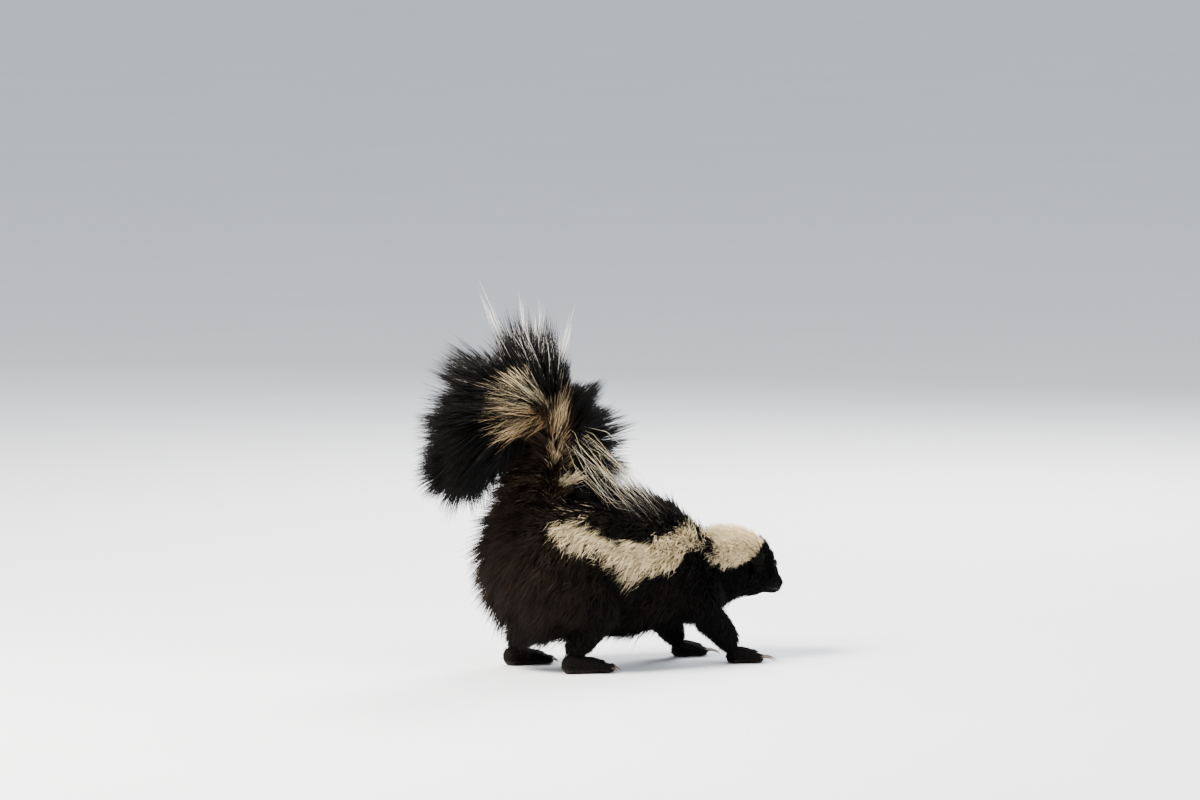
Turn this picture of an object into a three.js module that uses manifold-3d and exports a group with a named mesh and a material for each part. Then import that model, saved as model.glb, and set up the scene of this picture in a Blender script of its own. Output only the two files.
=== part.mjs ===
// A life-size striped skunk that walks with its tail up, in millimetres.
// +X is the way it faces, +Y is its left and +Z is up. It stands on its four soles at z = 0,
// and the middle of its box is over the origin.

import * as THREE from "three";
import { mergeVertices } from "three/addons/utils/BufferGeometryUtils.js";
import Module from "manifold-3d";

const wasm = await Module();
wasm.setup();

const vec = (x, y, z) => new THREE.Vector3(x, y, z);
const turn = THREE.MathUtils.degToRad;

const GAP = 0.3; // left between two pieces that touch
const CORE_SHARE = 0.42; // the share of a deep coat that is its node's core, under the locks

// The locks of hair
const ROOT_DEPTH = 7; // how far a lock goes on under the surface that it grows from
const LOCK_THICKNESS = 6;
const LOCK_RAGGED = 0.16; // the share by which locks differ in length and width
const LOCK_WANDER = turn(16); // how far a lock strays from the lie of the coat
const LOCK_ROLL = turn(22); // how far it turns about itself
const TRUNK_LOCK = { length: 46, width: 28, bend: turn(11) };
const NECK_LOCK = { length: 32, width: 28, bend: turn(11) };
const LIMB_LOCK = { length: 34, width: 21, bend: turn(10) };
const TAIL_LOCK = { shortest: 22, width: 26, bend: turn(9), roll: turn(75) };
const WISP = { width: 8, thickness: 4, spread: 0.25 };
// The rows that locks grow in, from one station to another, and how far apart they are.
const TORSO_ROWS = { from: 0.3, to: 6.7, rows: 9, spacing: 51, seed: 11 };
const NECK_ROWS = { from: 7.5, to: 8.4, rows: 2, spacing: 60, seed: 12 };
const LIMB_ROWS = { from: 0.5, to: 1.6, rows: 3, spacing: 35, seed: 31 };
const TAIL_ROWS = {
  base: { from: 0.8, to: 2.85, rows: 5, spacing: 36, seed: 21 },
  middle: { from: 3.45, to: 5.4, rows: 6, spacing: 30, seed: 22 },
  end: { from: 5.8, to: 7.88, rows: 5, spacing: 34, seed: 23 },
};

// The trunk, from the rump to the nose. Each station has a point of the spine, then how far
// the skin reaches from it to each side, up and down, and how deep the coat on it is.
const TRUNK = [
  { at: [-113, 0, 115], reach: [48, 54, 52], coat: 20 },
  { at: [-85, 0, 117], reach: [56, 58, 60], coat: 20 },
  { at: [-50, 0, 119], reach: [60, 60, 66], coat: 19 },
  { at: [-10, 0, 121], reach: [61, 60, 69], coat: 18 },
  { at: [30, 0, 119], reach: [59, 59, 68], coat: 17 },
  { at: [65, 0, 114], reach: [51, 53, 61], coat: 16 },
  { at: [95, 0, 108], reach: [40, 41, 52], coat: 14 },
  { at: [120, 1, 103], reach: [32, 31, 42], coat: 13 },
  { at: [142, 4, 102], reach: [30, 28, 34], coat: 11 },
  { at: [164, 8, 103], reach: [33, 35, 30], coat: 9 },
  { at: [185, 12, 99], reach: [34, 36, 26], coat: 6 },
  { at: [203, 16, 92], reach: [28, 31, 22], coat: 3.5 },
  { at: [217, 19, 86], reach: [18, 22, 16], coat: 2 },
  { at: [229, 21.5, 80], reach: [12.5, 12.5, 11], coat: 1.2 },
  { at: [238, 23.5, 76], reach: [11, 9.5, 8.5], coat: 0.8 },
];
const NECK_START = 7.1;
const HEAD_START = 8.9;
const LOCKS_END = 7.9; // from here to the head the core comes up to the outside of the coat
const HANG = { rump: 1.6, flank: 0.5, from: 0.4, to: 3 }; // how steeply the coat falls

// The tail, from the rump to its last bone, up, over a sharp bend and down behind. Its coat
// has a depth to each side, on the inside of the bend and on the outside.
const TAIL = [
  { at: [-66, 0, 172], reach: [16, 17, 17], coat: [42, 56, 56] },
  { at: [-63, 0, 205], reach: [14, 14, 14], coat: [52, 60, 78] },
  { at: [-61, 0, 235], reach: [12, 12, 12], coat: [58, 46, 84] },
  { at: [-62, 0, 265], reach: [11, 11, 11], coat: [60, 26, 82] },
  { at: [-70, 0, 290], reach: [10, 10, 10], coat: [60, 20, 78] },
  { at: [-92, 0, 300], reach: [9.5, 9.5, 9.5], coat: [60, 20, 78] },
  { at: [-119, 0, 288], reach: [9, 9, 9], coat: [60, 28, 84] },
  { at: [-145, 0, 264], reach: [8, 8, 8], coat: [54, 40, 58] },
  { at: [-169, 0, 232], reach: [6.5, 6.5, 6.5], coat: [48, 42, 50] },
];
const TAIL_CUTS = [3.1, 5.5];
// How far the hair stands off the bone: at the bend and at the tip, and to each side, where it
// is combed along the tail. Near the root it falls over.
const TAIL_LIFT = { bend: turn(72), tip: turn(38), side: turn(38), from: 4.4, to: 7.2 };
const TAIL_DROOP = { most: 0.9, from: 0.8, to: 2.8 };
// The longest hairs stand on top of the bend: where, how far each leans forwards, its length.
const WISPS = [
  { s: 4.2, lean: 13, length: 66 },
  { s: 4.6, lean: 0, length: 60 },
  { s: 4.9, lean: -10, length: 78 },
  { s: 5.2, lean: -25, length: 98 },
];

const FUR = { color: 0x15110f, roughness: 0.75 };
const SKIN = { color: 0x2a211e, roughness: 0.6 };
const WET = { color: 0x050404, roughness: 0.12 };

// Numbers between 0 and 1, the same on every run.
function seededRandom(seed) {
  let state = seed;
  return () => {
    state = (state + 0x6d2b79f5) | 0;
    let mixed = Math.imul(state ^ (state >>> 15), 1 | state);
    mixed = (mixed + Math.imul(mixed ^ (mixed >>> 7), 61 | mixed)) ^ mixed;
    return ((mixed ^ (mixed >>> 14)) >>> 0) / 4294967296;
  };
}

// Joining and cutting

// A three.js geometry with a closed surface as a solid whose faces point out.
function solid(geometry) {
  const bare = geometry.clone();
  bare.deleteAttribute("normal");
  bare.deleteAttribute("uv");
  const merged = mergeVertices(bare, 1e-4);
  const build = (triVerts) =>
    new wasm.Manifold(
      new wasm.Mesh({
        numProp: 3,
        vertProperties: new Float32Array(merged.attributes.position.array),
        triVerts,
      }),
    );
  const faces = new Uint32Array(merged.index.array);
  const made = build(faces);
  return made.volume() < 0 ? build(faces.reverse()) : made;
}

const join = (solids) => wasm.Manifold.union(solids);

// The solid less what its neighbours need, without any scrap that this cuts loose.
function fitted(made, rooms) {
  const cut = rooms.reduce((rest, room) => rest.subtract(room), made);
  return cut.decompose().sort((a, b) => b.volume() - a.volume())[0];
}

function meshOf(name, made, look) {
  const { numProp, vertProperties, triVerts } = made.getMesh();
  const position = new Float32Array((vertProperties.length / numProp) * 3);
  for (let i = 0; i < position.length / 3; i++)
    position.set(vertProperties.subarray(i * numProp, i * numProp + 3), i * 3);
  const geometry = new THREE.BufferGeometry();
  geometry.setAttribute("position", new THREE.BufferAttribute(position, 3));
  geometry.setIndex(new THREE.BufferAttribute(triVerts, 1));
  geometry.computeVertexNormals();
  const mesh = new THREE.Mesh(geometry, new THREE.MeshStandardMaterial(look));
  mesh.name = name;
  return mesh;
}

// A closed surface through rings of points, with one point at each end.
function surfaceThrough(start, rings, end) {
  const sides = rings[0].length;
  const points = [start, ...rings.flat(), end];
  const last = points.length - 1;
  const at = (ring, side) => 1 + ring * sides + (side % sides);
  const index = [];
  for (let side = 0; side < sides; side++) {
    index.push(0, at(0, side + 1), at(0, side));
    for (let ring = 0; ring + 1 < rings.length; ring++) {
      const [a, b] = [at(ring, side), at(ring, side + 1)];
      const [c, d] = [at(ring + 1, side), at(ring + 1, side + 1)];
      index.push(a, b, c, b, d, c);
    }
    index.push(last, at(rings.length - 1, side), at(rings.length - 1, side + 1));
  }
  const geometry = new THREE.BufferGeometry().setFromPoints(points);
  geometry.setIndex(index);
  return solid(geometry);
}

// A body part swept along a line of stations. An angle of 0 is its left side and 90 is up,
// where up is the part's own: a limb that points down has it in front.
class Sweep {
  constructor(stations, { startRound = 0, endRound = 0, squareness = 2.2, core = () => 1 } = {}) {
    this.last = stations.length - 1;
    this.startRound = startRound;
    this.endRound = endRound;
    this.squareness = squareness;
    this.core = core;
    const curve = (points) => new THREE.CatmullRomCurve3(points, false, "catmullrom", 0.5);
    const coatOf = ({ coat = 0 }) => (Array.isArray(coat) ? coat : [coat, coat, coat]);
    this.line = curve(stations.map(({ at }) => vec(...at)));
    this.reach = curve(stations.map(({ reach }) => vec(...reach)));
    this.coat = curve(stations.map((station) => vec(...coatOf(station))));
  }

  frame(s) {
    const along = this.line.getTangent(s / this.last);
    const left = vec(0, 1, 0).addScaledVector(along, -along.y).normalize();
    return { along, left, up: along.clone().cross(left) };
  }

  // How much the ends are drawn in, from 0 at a tip to 1 where the part has its full size.
  rounding(s) {
    const near = (distance, length) =>
      distance < length ? Math.sqrt(Math.max(0, 1 - (1 - distance / length) ** 2)) : 1;
    return near(s, this.startRound) * near(this.last - s, this.endRound);
  }

  skin(s, angle) {
    const t = THREE.MathUtils.clamp(s / this.last, 0, 1);
    const { left, up } = this.frame(s);
    const [side, rise, fall] = this.reach.getPoint(t).toArray();
    const [c, h] = [Math.cos(angle), Math.sin(angle)];
    const n = this.squareness;
    const size = this.rounding(s) / (Math.abs(c) ** n + Math.abs(h) ** n) ** (1 / n);
    return this.line
      .getPoint(t)
      .addScaledVector(left, c * side * size)
      .addScaledVector(up, h * (h > 0 ? rise : fall) * size);
  }

  normal(s, angle) {
    const [ds, da] = [0.02, 0.02];
    const forward = this.skin(Math.min(s + ds, this.last - 1e-3), angle);
    forward.sub(this.skin(Math.max(s - ds, 1e-3), angle));
    const round = this.skin(s, angle + da).sub(this.skin(s, angle - da));
    return round.cross(forward).normalize();
  }

  coatDepth(s, angle) {
    const [side, over, under] = this.coat.getPoint(s / this.last).toArray();
    const h = Math.sin(angle);
    return side + ((h > 0 ? over : under) - side) * h * h;
  }

  // A point of the core, and extra millimetres outside it.
  surface(s, angle, extra = 0) {
    const depth = this.coatDepth(s, angle) * this.core(s) + extra;
    return this.skin(s, angle).addScaledVector(this.normal(s, angle), depth);
  }

  // Whether a point is nearer to the middle line than the core is, and some more.
  covers(point, more) {
    const steps = Array.from({ length: 13 }, (_, i) => i / 12);
    return steps.some((t) => {
      const size = this.reach.getPoint(t).x + this.coat.getPoint(t).x * this.core(t * this.last);
      return this.line.getPoint(t).distanceTo(point) < size + more;
    });
  }

  girth(s) {
    const ring = Array.from({ length: 16 }, (_, i) => this.surface(s, (i * Math.PI) / 8));
    return ring.reduce((sum, point, i) => sum + point.distanceTo(ring[(i + 1) % 16]), 0);
  }

  // Rings of points and the two points that close them: each a tip beyond a round end, or the
  // middle of a flat one. Extra moves every one of them outwards.
  solid(places, sides, extra = 0) {
    const open = places.filter((s) => this.rounding(s) > 0.01);
    const outwards = (s) => this.frame(s).along.multiplyScalar(s === places[0] ? -extra : extra);
    const flat = (s) => this.rounding(s) > 0.01 && (s === places[0] || s === places.at(-1));
    const rings = open.map((s) =>
      Array.from({ length: sides }, (_, side) => {
        const point = this.surface(s, (2 * Math.PI * (side + 0.5)) / sides, extra);
        return flat(s) ? point.add(outwards(s)) : point;
      }),
    );
    const close = (s) => {
      const point = this.line.getPoint(s / this.last).add(outwards(s));
      if (flat(s)) return point;
      const tip = this.coatDepth(s, 0) * this.core(s) * (s === places[0] ? -1 : 1);
      return point.addScaledVector(this.frame(s).along, tip);
    };
    return surfaceThrough(close(places[0]), rings, close(places.at(-1)));
  }
}

// Places along a sweep: even ones from one to the other, and close ones where an end is round.
const FINE_ROUND = [0, 0.05, 0.18, 0.45];
const COARSE_ROUND = [0, 0.12, 0.45];

function places(from, to, count, { roundStart = 0, roundEnd = 0, steps = FINE_ROUND } = {}) {
  const [first, last] = [from + roundStart, to - roundEnd];
  const even = Array.from({ length: count + 1 }, (_, i) => first + ((last - first) * i) / count);
  const start = roundStart ? steps.map((step) => from + roundStart * step) : [];
  const end = roundEnd ? steps.map((step) => to - roundEnd * step).reverse() : [];
  return [...start, ...even, ...end];
}

// Locks of hair

const LOCK_PROFILE = [
  { t: 0.05, width: 0.75, thickness: 1 },
  { t: 0.45, width: 1, thickness: 0.9 },
  { t: 0.78, width: 0.55, thickness: 0.6 },
];

// A flat lock with a ridge on its outer face. It starts inside the core, leaves it in one
// direction, bends over towards another and tapers to a point. Extra makes the room it needs.
function lockSolid({ root, out, start, end, length, width, thickness, roll }, extra = 0) {
  const reach = length + 4 * extra;
  const knee = root.clone().addScaledVector(start, reach * 0.45);
  const line = new THREE.QuadraticBezierCurve3(
    root.clone().addScaledVector(start, -ROOT_DEPTH).addScaledVector(out, -ROOT_DEPTH / 2),
    knee,
    knee.clone().addScaledVector(end, reach * 0.55),
  );
  const across = start.clone().cross(out).normalize().applyAxisAngle(start, roll);
  const rings = LOCK_PROFILE.map((share) => {
    const middle = line.getPoint(share.t);
    const along = line.getTangent(share.t);
    const flat = across.clone().addScaledVector(along, -across.dot(along)).normalize();
    const thick = flat.clone().cross(along);
    const half = (width / 2) * share.width + 4 * extra;
    const high = thickness * share.thickness;
    const corner = (side, up) =>
      middle.clone().addScaledVector(flat, side).addScaledVector(thick, up);
    const [base, ridge] = [-0.3 * high - extra, 0.7 * high + 2 * extra];
    return [corner(half, base), corner(0, ridge), corner(-half, base)];
  });
  return surfaceThrough(line.getPoint(0), rings, line.getPoint(1));
}

// Locks in staggered rows over a sweep's core. The style of a place says how its lock lies,
// and nothing where there is none.
function locksOver(sweep, { from, to, rows, spacing, seed }, styleAt) {
  const random = seededRandom(seed);
  const about = (spread) => 1 + (random() * 2 - 1) * spread;
  const locks = [];
  for (let row = 0; row < rows; row++) {
    const s = from + ((to - from) * row) / (rows - 1);
    const count = Math.round(sweep.girth(s) / spacing);
    for (let i = 0; i < count; i++) {
      const angle = (2 * Math.PI * (i + (row % 2) / 2 + 0.15 * about(1))) / count;
      const root = sweep.surface(s, angle);
      const out = sweep.normal(s, angle);
      const rise = sweep.coatDepth(s, angle) * (1 - sweep.core(s));
      const style = styleAt({ s, angle, root, out, rise });
      if (!style) continue;
      const { lie, lift, bend, length, droop = 0, roll = LOCK_ROLL } = style;
      const flat = lie.clone().addScaledVector(out, -lie.dot(out)).normalize();
      flat.applyAxisAngle(out, LOCK_WANDER * (about(1) - 1));
      const at = (angleUp) =>
        flat.clone().multiplyScalar(Math.cos(angleUp)).addScaledVector(out, Math.sin(angleUp));
      locks.push({
        root,
        out,
        start: at(lift + bend),
        end: at(lift - bend).add(vec(0, 0, -droop)).normalize(),
        length: length * about(LOCK_RAGGED),
        width: style.width * about(LOCK_RAGGED),
        thickness: LOCK_THICKNESS,
        roll: roll * (about(1) - 1),
      });
    }
  }
  return locks;
}

const lockRooms = (locks) => locks.map((one) => lockSolid(one, GAP));

// A core with its locks, as one body.
function furred(core, locks) {
  return join([core, ...locks.map((one) => lockSolid(one))]);
}

// The trunk's three nodes

// The share of the coat's depth that is core: all of it on the head, which has no locks.
function trunkCore(s) {
  const rise = THREE.MathUtils.smoothstep(s, LOCKS_END, HEAD_START);
  return THREE.MathUtils.lerp(CORE_SHARE, 1, rise);
}

const trunk = new Sweep(TRUNK, { startRound: 1.4, endRound: 0.55, core: trunkCore });
const TRUNK_SIDES = 22;
const SLIT = 0.014; // in stations, which leaves the gap between two pieces of the trunk
const TRUNK_PLACES = {
  torso: places(0, NECK_START, 10, { roundStart: 1, steps: COARSE_ROUND }),
  neck: places(NECK_START + SLIT, HEAD_START, 2),
  head: places(HEAD_START + SLIT, TRUNK.length - 1, 10, { roundEnd: 0.5, steps: COARSE_ROUND }),
};

// One or more of the trunk's pieces that follow each other, as one solid.
function trunkSolid(names, extra = 0) {
  const rings = names.flatMap((name) => TRUNK_PLACES[name]);
  return trunk.solid(rings, TRUNK_SIDES, extra);
}

// The coat of the trunk lies back and down. It leaves room for the legs and the tail.
function trunkStyle({ s, root, out, rise }) {
  const onLimb = upperLimbs.some((limb) => limb.covers(root, 0));
  if (onLimb || tail.covers(root, -8)) return null;
  const ahead = THREE.MathUtils.smoothstep(s, HANG.from, HANG.to);
  const hang = THREE.MathUtils.lerp(HANG.rump, HANG.flank, ahead);
  const lie = trunk.frame(s).along.negate().add(vec(0, 0, -hang));
  const lock = s > NECK_START ? NECK_LOCK : TRUNK_LOCK;
  return { ...lock, lie, lift: Math.asin(rise / lock.length) };
}

// The tail's three nodes

const tailOptions = { startRound: 0.4, endRound: 0.9, squareness: 2, core: () => CORE_SHARE };
const tail = new Sweep(TAIL, tailOptions);
const TAIL_SIDES = 16;
const TAIL_SLIT = 0.012;
const TAIL_PLACES = {
  base: places(0, TAIL_CUTS[0], 4, { roundStart: 0.3, steps: COARSE_ROUND }),
  middle: places(TAIL_CUTS[0] + TAIL_SLIT, TAIL_CUTS[1], 4),
  end: places(TAIL_CUTS[1] + TAIL_SLIT, TAIL.length - 1, 3, { roundEnd: 0.9 }),
};

function tailSolid(names, extra = 0) {
  const rings = names.flatMap((name) => TAIL_PLACES[name]);
  return tail.solid(rings, TAIL_SIDES, extra);
}

// The tail's hair stands off the bone, more so at the bend, and lies along it near the tip.
// Round the root it falls over, and the inside of the bend has no room for any.
function tailStyle({ s, angle, out, rise }) {
  if (Math.sin(angle) > 0.45 && s > 2.4 && s < 5.9) return null;
  const { smoothstep, lerp } = THREE.MathUtils;
  const above = lerp(TAIL_LIFT.bend, TAIL_LIFT.tip, smoothstep(s, TAIL_LIFT.from, TAIL_LIFT.to));
  const lift = lerp(above, Math.min(above, TAIL_LIFT.side), out.y * out.y);
  const fall = TAIL_DROOP.most * (1 - smoothstep(s, TAIL_DROOP.from, TAIL_DROOP.to));
  const length = Math.max(TAIL_LOCK.shortest, rise / Math.sin(lift));
  return { ...TAIL_LOCK, lie: tail.frame(s).along, lift, length, droop: fall * Math.abs(out.x) };
}

function wispLocks() {
  return WISPS.map(({ s, lean, length }, i) => {
    const angle = -Math.PI / 2 + WISP.spread * (i % 2 ? 1 : -1);
    const way = vec(Math.sin(turn(lean)), 0, Math.cos(turn(lean)));
    const [root, out] = [tail.surface(s, angle), tail.normal(s, angle)];
    return { ...WISP, root, out, start: way, end: way, length, roll: i };
  });
}

// The limbs

// Each limb has its points from the trunk to the foot on the right side, and the foot's place.
const LIMBS = {
  hind_right: {
    side: -1,
    upper: [[-60, 30, 112], [-46, 44, 92], [-22, 51, 68]],
    lower: [[-25, 51, 72], [-42, 53, 48], [-63, 52, 22]],
    heel: [-74, 52],
  },
  hind_left: {
    side: 1,
    upper: [[-68, 30, 112], [-58, 44, 92], [-40, 51, 68]],
    lower: [[-43, 51, 72], [-60, 53, 48], [-81, 52, 22]],
    heel: [-92, 52],
  },
  fore_right: {
    side: -1,
    upper: [[94, 22, 94], [103, 33, 78], [104, 41, 60]],
    lower: [[102, 43, 66], [126, 44, 42], [145, 43, 18]],
    heel: [139, 43],
  },
  fore_left: {
    side: 1,
    upper: [[92, 22, 94], [97, 33, 78], [90, 41, 60]],
    lower: [[87, 43, 66], [106, 44, 42], [123, 43, 18]],
    heel: [117, 43],
  },
};
const HIND = {
  upper: [[24, 36, 42], [22, 32, 34], [16, 20, 20]],
  lower: [[16, 20, 18], [12, 14, 14], [10, 11, 12]],
  coats: [16, 5],
  sole: [
    { at: [0, 0, 11], reach: [8.5, 9, 11] },
    { at: [18, 0, 9.5], reach: [9.5, 8.5, 10.5] },
    { at: [36, 0, 7.5], reach: [12, 7, 8.5] },
    { at: [49, 0, 6], reach: [12.5, 5, 7] },
  ],
  toes: { root: 43, lengths: [13, 17, 18.5, 17.5, 13.5], claw: 8 },
};
const FORE = {
  upper: [[13, 24, 26], [13, 20, 20], [12, 15, 16]],
  lower: [[13, 15, 16], [11, 12, 12], [9, 10, 10]],
  coats: [13, 4],
  sole: [
    { at: [0, 0, 10], reach: [8, 8.5, 10.5] },
    { at: [12, 0, 8.5], reach: [10, 8, 9.5] },
    { at: [24, 0, 7], reach: [12.5, 6.5, 8] },
    { at: [32, 0, 6], reach: [12.5, 5, 7] },
  ],
  toes: { root: 26, lengths: [11, 14.5, 15.5, 14.5, 11.5], claw: 17 },
};
const LIMB_SIDES = 12;
const FOOT_COAT = 1.8;
const FOOT_TURN = 5; // degrees that a foot points outwards
const TOE = { radius: 3.9, apart: 5.4, back: 1.6, spread: turn(9), root: 5.2, arch: 5, tip: 3.6 };
const TOE_ROUND = [0, 0.25];
const CLAW = { radius: 1.9, thinner: 0.75, seat: 4.4, point: 0.8, arch: 0.12 };

const mirrored = ([x, y, z], side) => [x, y * side, z];

// A limb's upper part with a long coat is core and locks, and any other is plain.
function limbSweep(points, reaches, coat, side) {
  const stations = points.map((at, i) => ({ at: mirrored(at, side), reach: reaches[i], coat }));
  const core = () => (coat > 10 ? CORE_SHARE : 1);
  return new Sweep(stations, { startRound: 0.8, endRound: 0.7, squareness: 2, core });
}

const kindOf = (name) => (name.startsWith("hind") ? HIND : FORE);
const upperOf = (name, { side, upper }) =>
  limbSweep(upper, kindOf(name).upper, kindOf(name).coats[0], side);
const upperLimbs = Object.entries(LIMBS).map(([name, limb]) => upperOf(name, limb));

// The coat of a limb's upper part lies back and down, like the trunk's. Its inside has none.
function limbStyle(side) {
  return ({ out, rise }) => {
    if (out.y * side < 0.1) return null;
    return { ...LIMB_LOCK, lie: vec(-0.7, 0, -1), lift: Math.asin(rise / LIMB_LOCK.length) };
  };
}

function limbSolid(sweep, extra = 0) {
  const ends = { roundStart: 0.6, roundEnd: 0.6, steps: COARSE_ROUND };
  return sweep.solid(places(0, 2, 2, ends), LIMB_SIDES, extra);
}

// A curved claw that tapers to its point on the ground.
function claw(root, heading, length) {
  const across = vec(-heading.y, heading.x, 0);
  const line = new THREE.QuadraticBezierCurve3(
    root.clone().addScaledVector(heading, -2.5),
    root.clone().addScaledVector(heading, length * 0.55).add(vec(0, 0, length * CLAW.arch)),
    root.clone().addScaledVector(heading, length).setZ(CLAW.point),
  );
  const rings = [0.08, 0.4, 0.75].map((t) => {
    const size = CLAW.radius * (1 - t * CLAW.thinner);
    return Array.from({ length: 4 }, (_, i) => {
      const angle = (i * Math.PI) / 2;
      return line
        .getPoint(t)
        .addScaledVector(across, Math.cos(angle) * size * 0.75)
        .add(vec(0, 0, Math.sin(angle) * size));
    });
  });
  return surfaceThrough(line.getPoint(0), rings, line.getPoint(1));
}

const belowFloor = solid(new THREE.BoxGeometry(900, 600, 60).translate(0, 0, -30));

// A foot on its sole, with five toes that spread and a claw on each.
function footSolid({ sole, toes }, [x, y], side) {
  const pad = new Sweep(
    sole.map((station) => ({ ...station, coat: FOOT_COAT })),
    { startRound: 0.5, endRound: 0.5, squareness: 2.4 },
  );
  const ends = { roundStart: 0.4, roundEnd: 0.4, steps: COARSE_ROUND };
  const pieces = [pad.solid(places(0, 3, 2, ends), 10)];
  toes.lengths.forEach((length, i) => {
    const outwards = i - 2;
    const [c, h] = [Math.cos(outwards * TOE.spread), Math.sin(outwards * TOE.spread)];
    const way = vec(c, h, 0);
    const root = vec(toes.root - Math.abs(outwards) * TOE.back, outwards * TOE.apart, TOE.root);
    const tip = root.clone().addScaledVector(way, length).setZ(TOE.tip);
    const line = [root, root.clone().lerp(tip, 0.5).setZ(TOE.arch), tip];
    const reach = [TOE.radius, TOE.radius, TOE.radius];
    const toe = new Sweep(
      line.map((point) => ({ at: point.toArray(), reach })),
      { startRound: 0.5, endRound: 0.5, squareness: 2 },
    );
    pieces.push(toe.solid(places(0, 2, 1, { roundEnd: 0.5, steps: TOE_ROUND }), 6));
    pieces.push(claw(tip.clone().addScaledVector(way, -1).setZ(CLAW.seat), way, toes.claw));
  });
  return join(pieces)
    .rotate([0, 0, FOOT_TURN * side])
    .translate([x, y * side, 0])
    .subtract(belowFloor);
}

// The head's features

const FLANK = { left: { out: 0, way: 1 }, right: { out: Math.PI, way: -1 } };
// Each has its station on the trunk and how far above the horizontal it is, in degrees.
const EYE = { s: 11.25, rise: 36, radius: 4.2, sunk: 0.5 };
const LID = { radius: 1.3, ring: 0.95, along: 1.14, across: 0.86, forward: 0.36 };
const EAR = { s: 9.55, rise: 9, half: [10, 11.5, 6], cup: [7.4, 8.8, 6.5], lift: 6 };
const NOSE = { half: [7.6, 5.6, 5], ahead: -1.2, above: 3.2 };
const NOSTRIL = { half: [2.2, 1.5, 3], apart: 4.2, ahead: 3.6 };
const MOUTH = [[11.9, -34], [12.6, -30], [13.2, -27], [13.65, -30], [13.86, -50]];
const CHIN = [13.9, -90];
const MOUTH_RADIUS = 0.9;

// A place on the trunk, by how far above the horizontal it is on one side.
const headAngle = (side, rise) => FLANK[side].out + FLANK[side].way * turn(rise);

function eyePlace(side) {
  const angle = headAngle(side, EYE.rise);
  const out = trunk.normal(EYE.s, angle);
  return { out, at: trunk.surface(EYE.s, angle).addScaledVector(out, -EYE.radius * EYE.sunk) };
}

function eyeSolid(side, extra = 0) {
  const ball = new THREE.SphereGeometry(EYE.radius + extra, 11, 7);
  return solid(ball).translate(eyePlace(side).at.toArray());
}

// Turns a shape's +Z to one direction, with its +Y as near to another as it can be.
function facing(out, towards) {
  const across = towards.clone().cross(out).normalize();
  return new THREE.Matrix4().makeBasis(across, out.clone().cross(across), out);
}

// The upper and lower lid, as one raised rim round the eye, longer ahead than it is high.
function lids(side) {
  const { out, at } = eyePlace(side);
  const rim = new THREE.TorusGeometry(EYE.radius * LID.ring, LID.radius, 4, 11);
  rim.scale(LID.across, LID.along, 1).translate(0, 0, EYE.radius * LID.forward);
  const place = facing(out, trunk.frame(EYE.s).along).setPosition(at);
  return solid(rim.applyMatrix4(place));
}

// An ear's cup, which opens forwards and outwards.
function earSolid(side) {
  const angle = headAngle(side, EAR.rise);
  const root = trunk.surface(EAR.s, angle);
  const { along, left, up } = trunk.frame(EAR.s);
  const rise = trunk
    .normal(EAR.s, angle)
    .addScaledVector(up, 0.55)
    .addScaledVector(along, -0.3)
    .normalize();
  const open = along.clone().addScaledVector(left, FLANK[side].way * 0.55).normalize();
  const place = facing(open, rise).setPosition(root.addScaledVector(rise, EAR.lift));
  const shell = new THREE.SphereGeometry(1, 12, 7).scale(...EAR.half).applyMatrix4(place);
  const cup = new THREE.SphereGeometry(1, 10, 6).scale(...EAR.cup).translate(0, 1.4, 4.4);
  return solid(shell).subtract(solid(cup.applyMatrix4(place)));
}

function noseSolid(extra = 0) {
  const { along, left, up } = trunk.frame(TRUNK.length - 1);
  const middle = trunk.line.getPoint(1);
  middle.addScaledVector(along, NOSE.ahead).addScaledVector(up, NOSE.above);
  const place = facing(along, up).setPosition(middle);
  const pad = new THREE.SphereGeometry(1, 10, 8).scale(...NOSE.half.map((half) => half + extra));
  const nose = solid(pad.applyMatrix4(place));
  if (extra) return nose;
  const holes = [1, -1].map((way) => {
    const hole = new THREE.SphereGeometry(1, 6, 5).scale(...NOSTRIL.half);
    const at = middle.clone().addScaledVector(along, NOSTRIL.ahead);
    at.addScaledVector(left, way * NOSTRIL.apart);
    return solid(hole.applyMatrix4(facing(along, up).setPosition(at)));
  });
  return holes.reduce((rest, hole) => rest.subtract(hole), nose);
}

// The line of the mouth, from one corner round under the nose to the other.
function mouthGroove() {
  const point = (side) => ([s, rise]) => trunk.surface(s, headAngle(side, rise));
  const left = MOUTH.map(point("left"));
  const right = MOUTH.map(point("right")).reverse();
  const points = [...left, point("left")(CHIN), ...right];
  const section = new THREE.Shape();
  section.absellipse(0, 0, MOUTH_RADIUS, MOUTH_RADIUS, 0, 2 * Math.PI, false);
  const extrudePath = new THREE.CatmullRomCurve3(points);
  const line = { steps: 12, bevelEnabled: false, curveSegments: 2, extrudePath };
  return solid(new THREE.ExtrudeGeometry(section, line));
}

// The whole animal

const parts = [];
const add = (name, made, look) => parts.push(meshOf(name, made, look));

const torsoLocks = locksOver(trunk, TORSO_ROWS, trunkStyle);
const neckLocks = locksOver(trunk, NECK_ROWS, trunkStyle);
const torsoRooms = [trunkSolid(["torso", "neck", "head"], GAP), ...lockRooms(torsoLocks)];
const trunkRooms = [...torsoRooms, ...lockRooms(neckLocks)];
add("torso", fitted(furred(trunkSolid(["torso"]), torsoLocks), []), FUR);
const behindNeck = [trunkSolid(["torso"], GAP), ...lockRooms(torsoLocks)];
add("neck", fitted(furred(trunkSolid(["neck"]), neckLocks), behindNeck), FUR);

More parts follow.
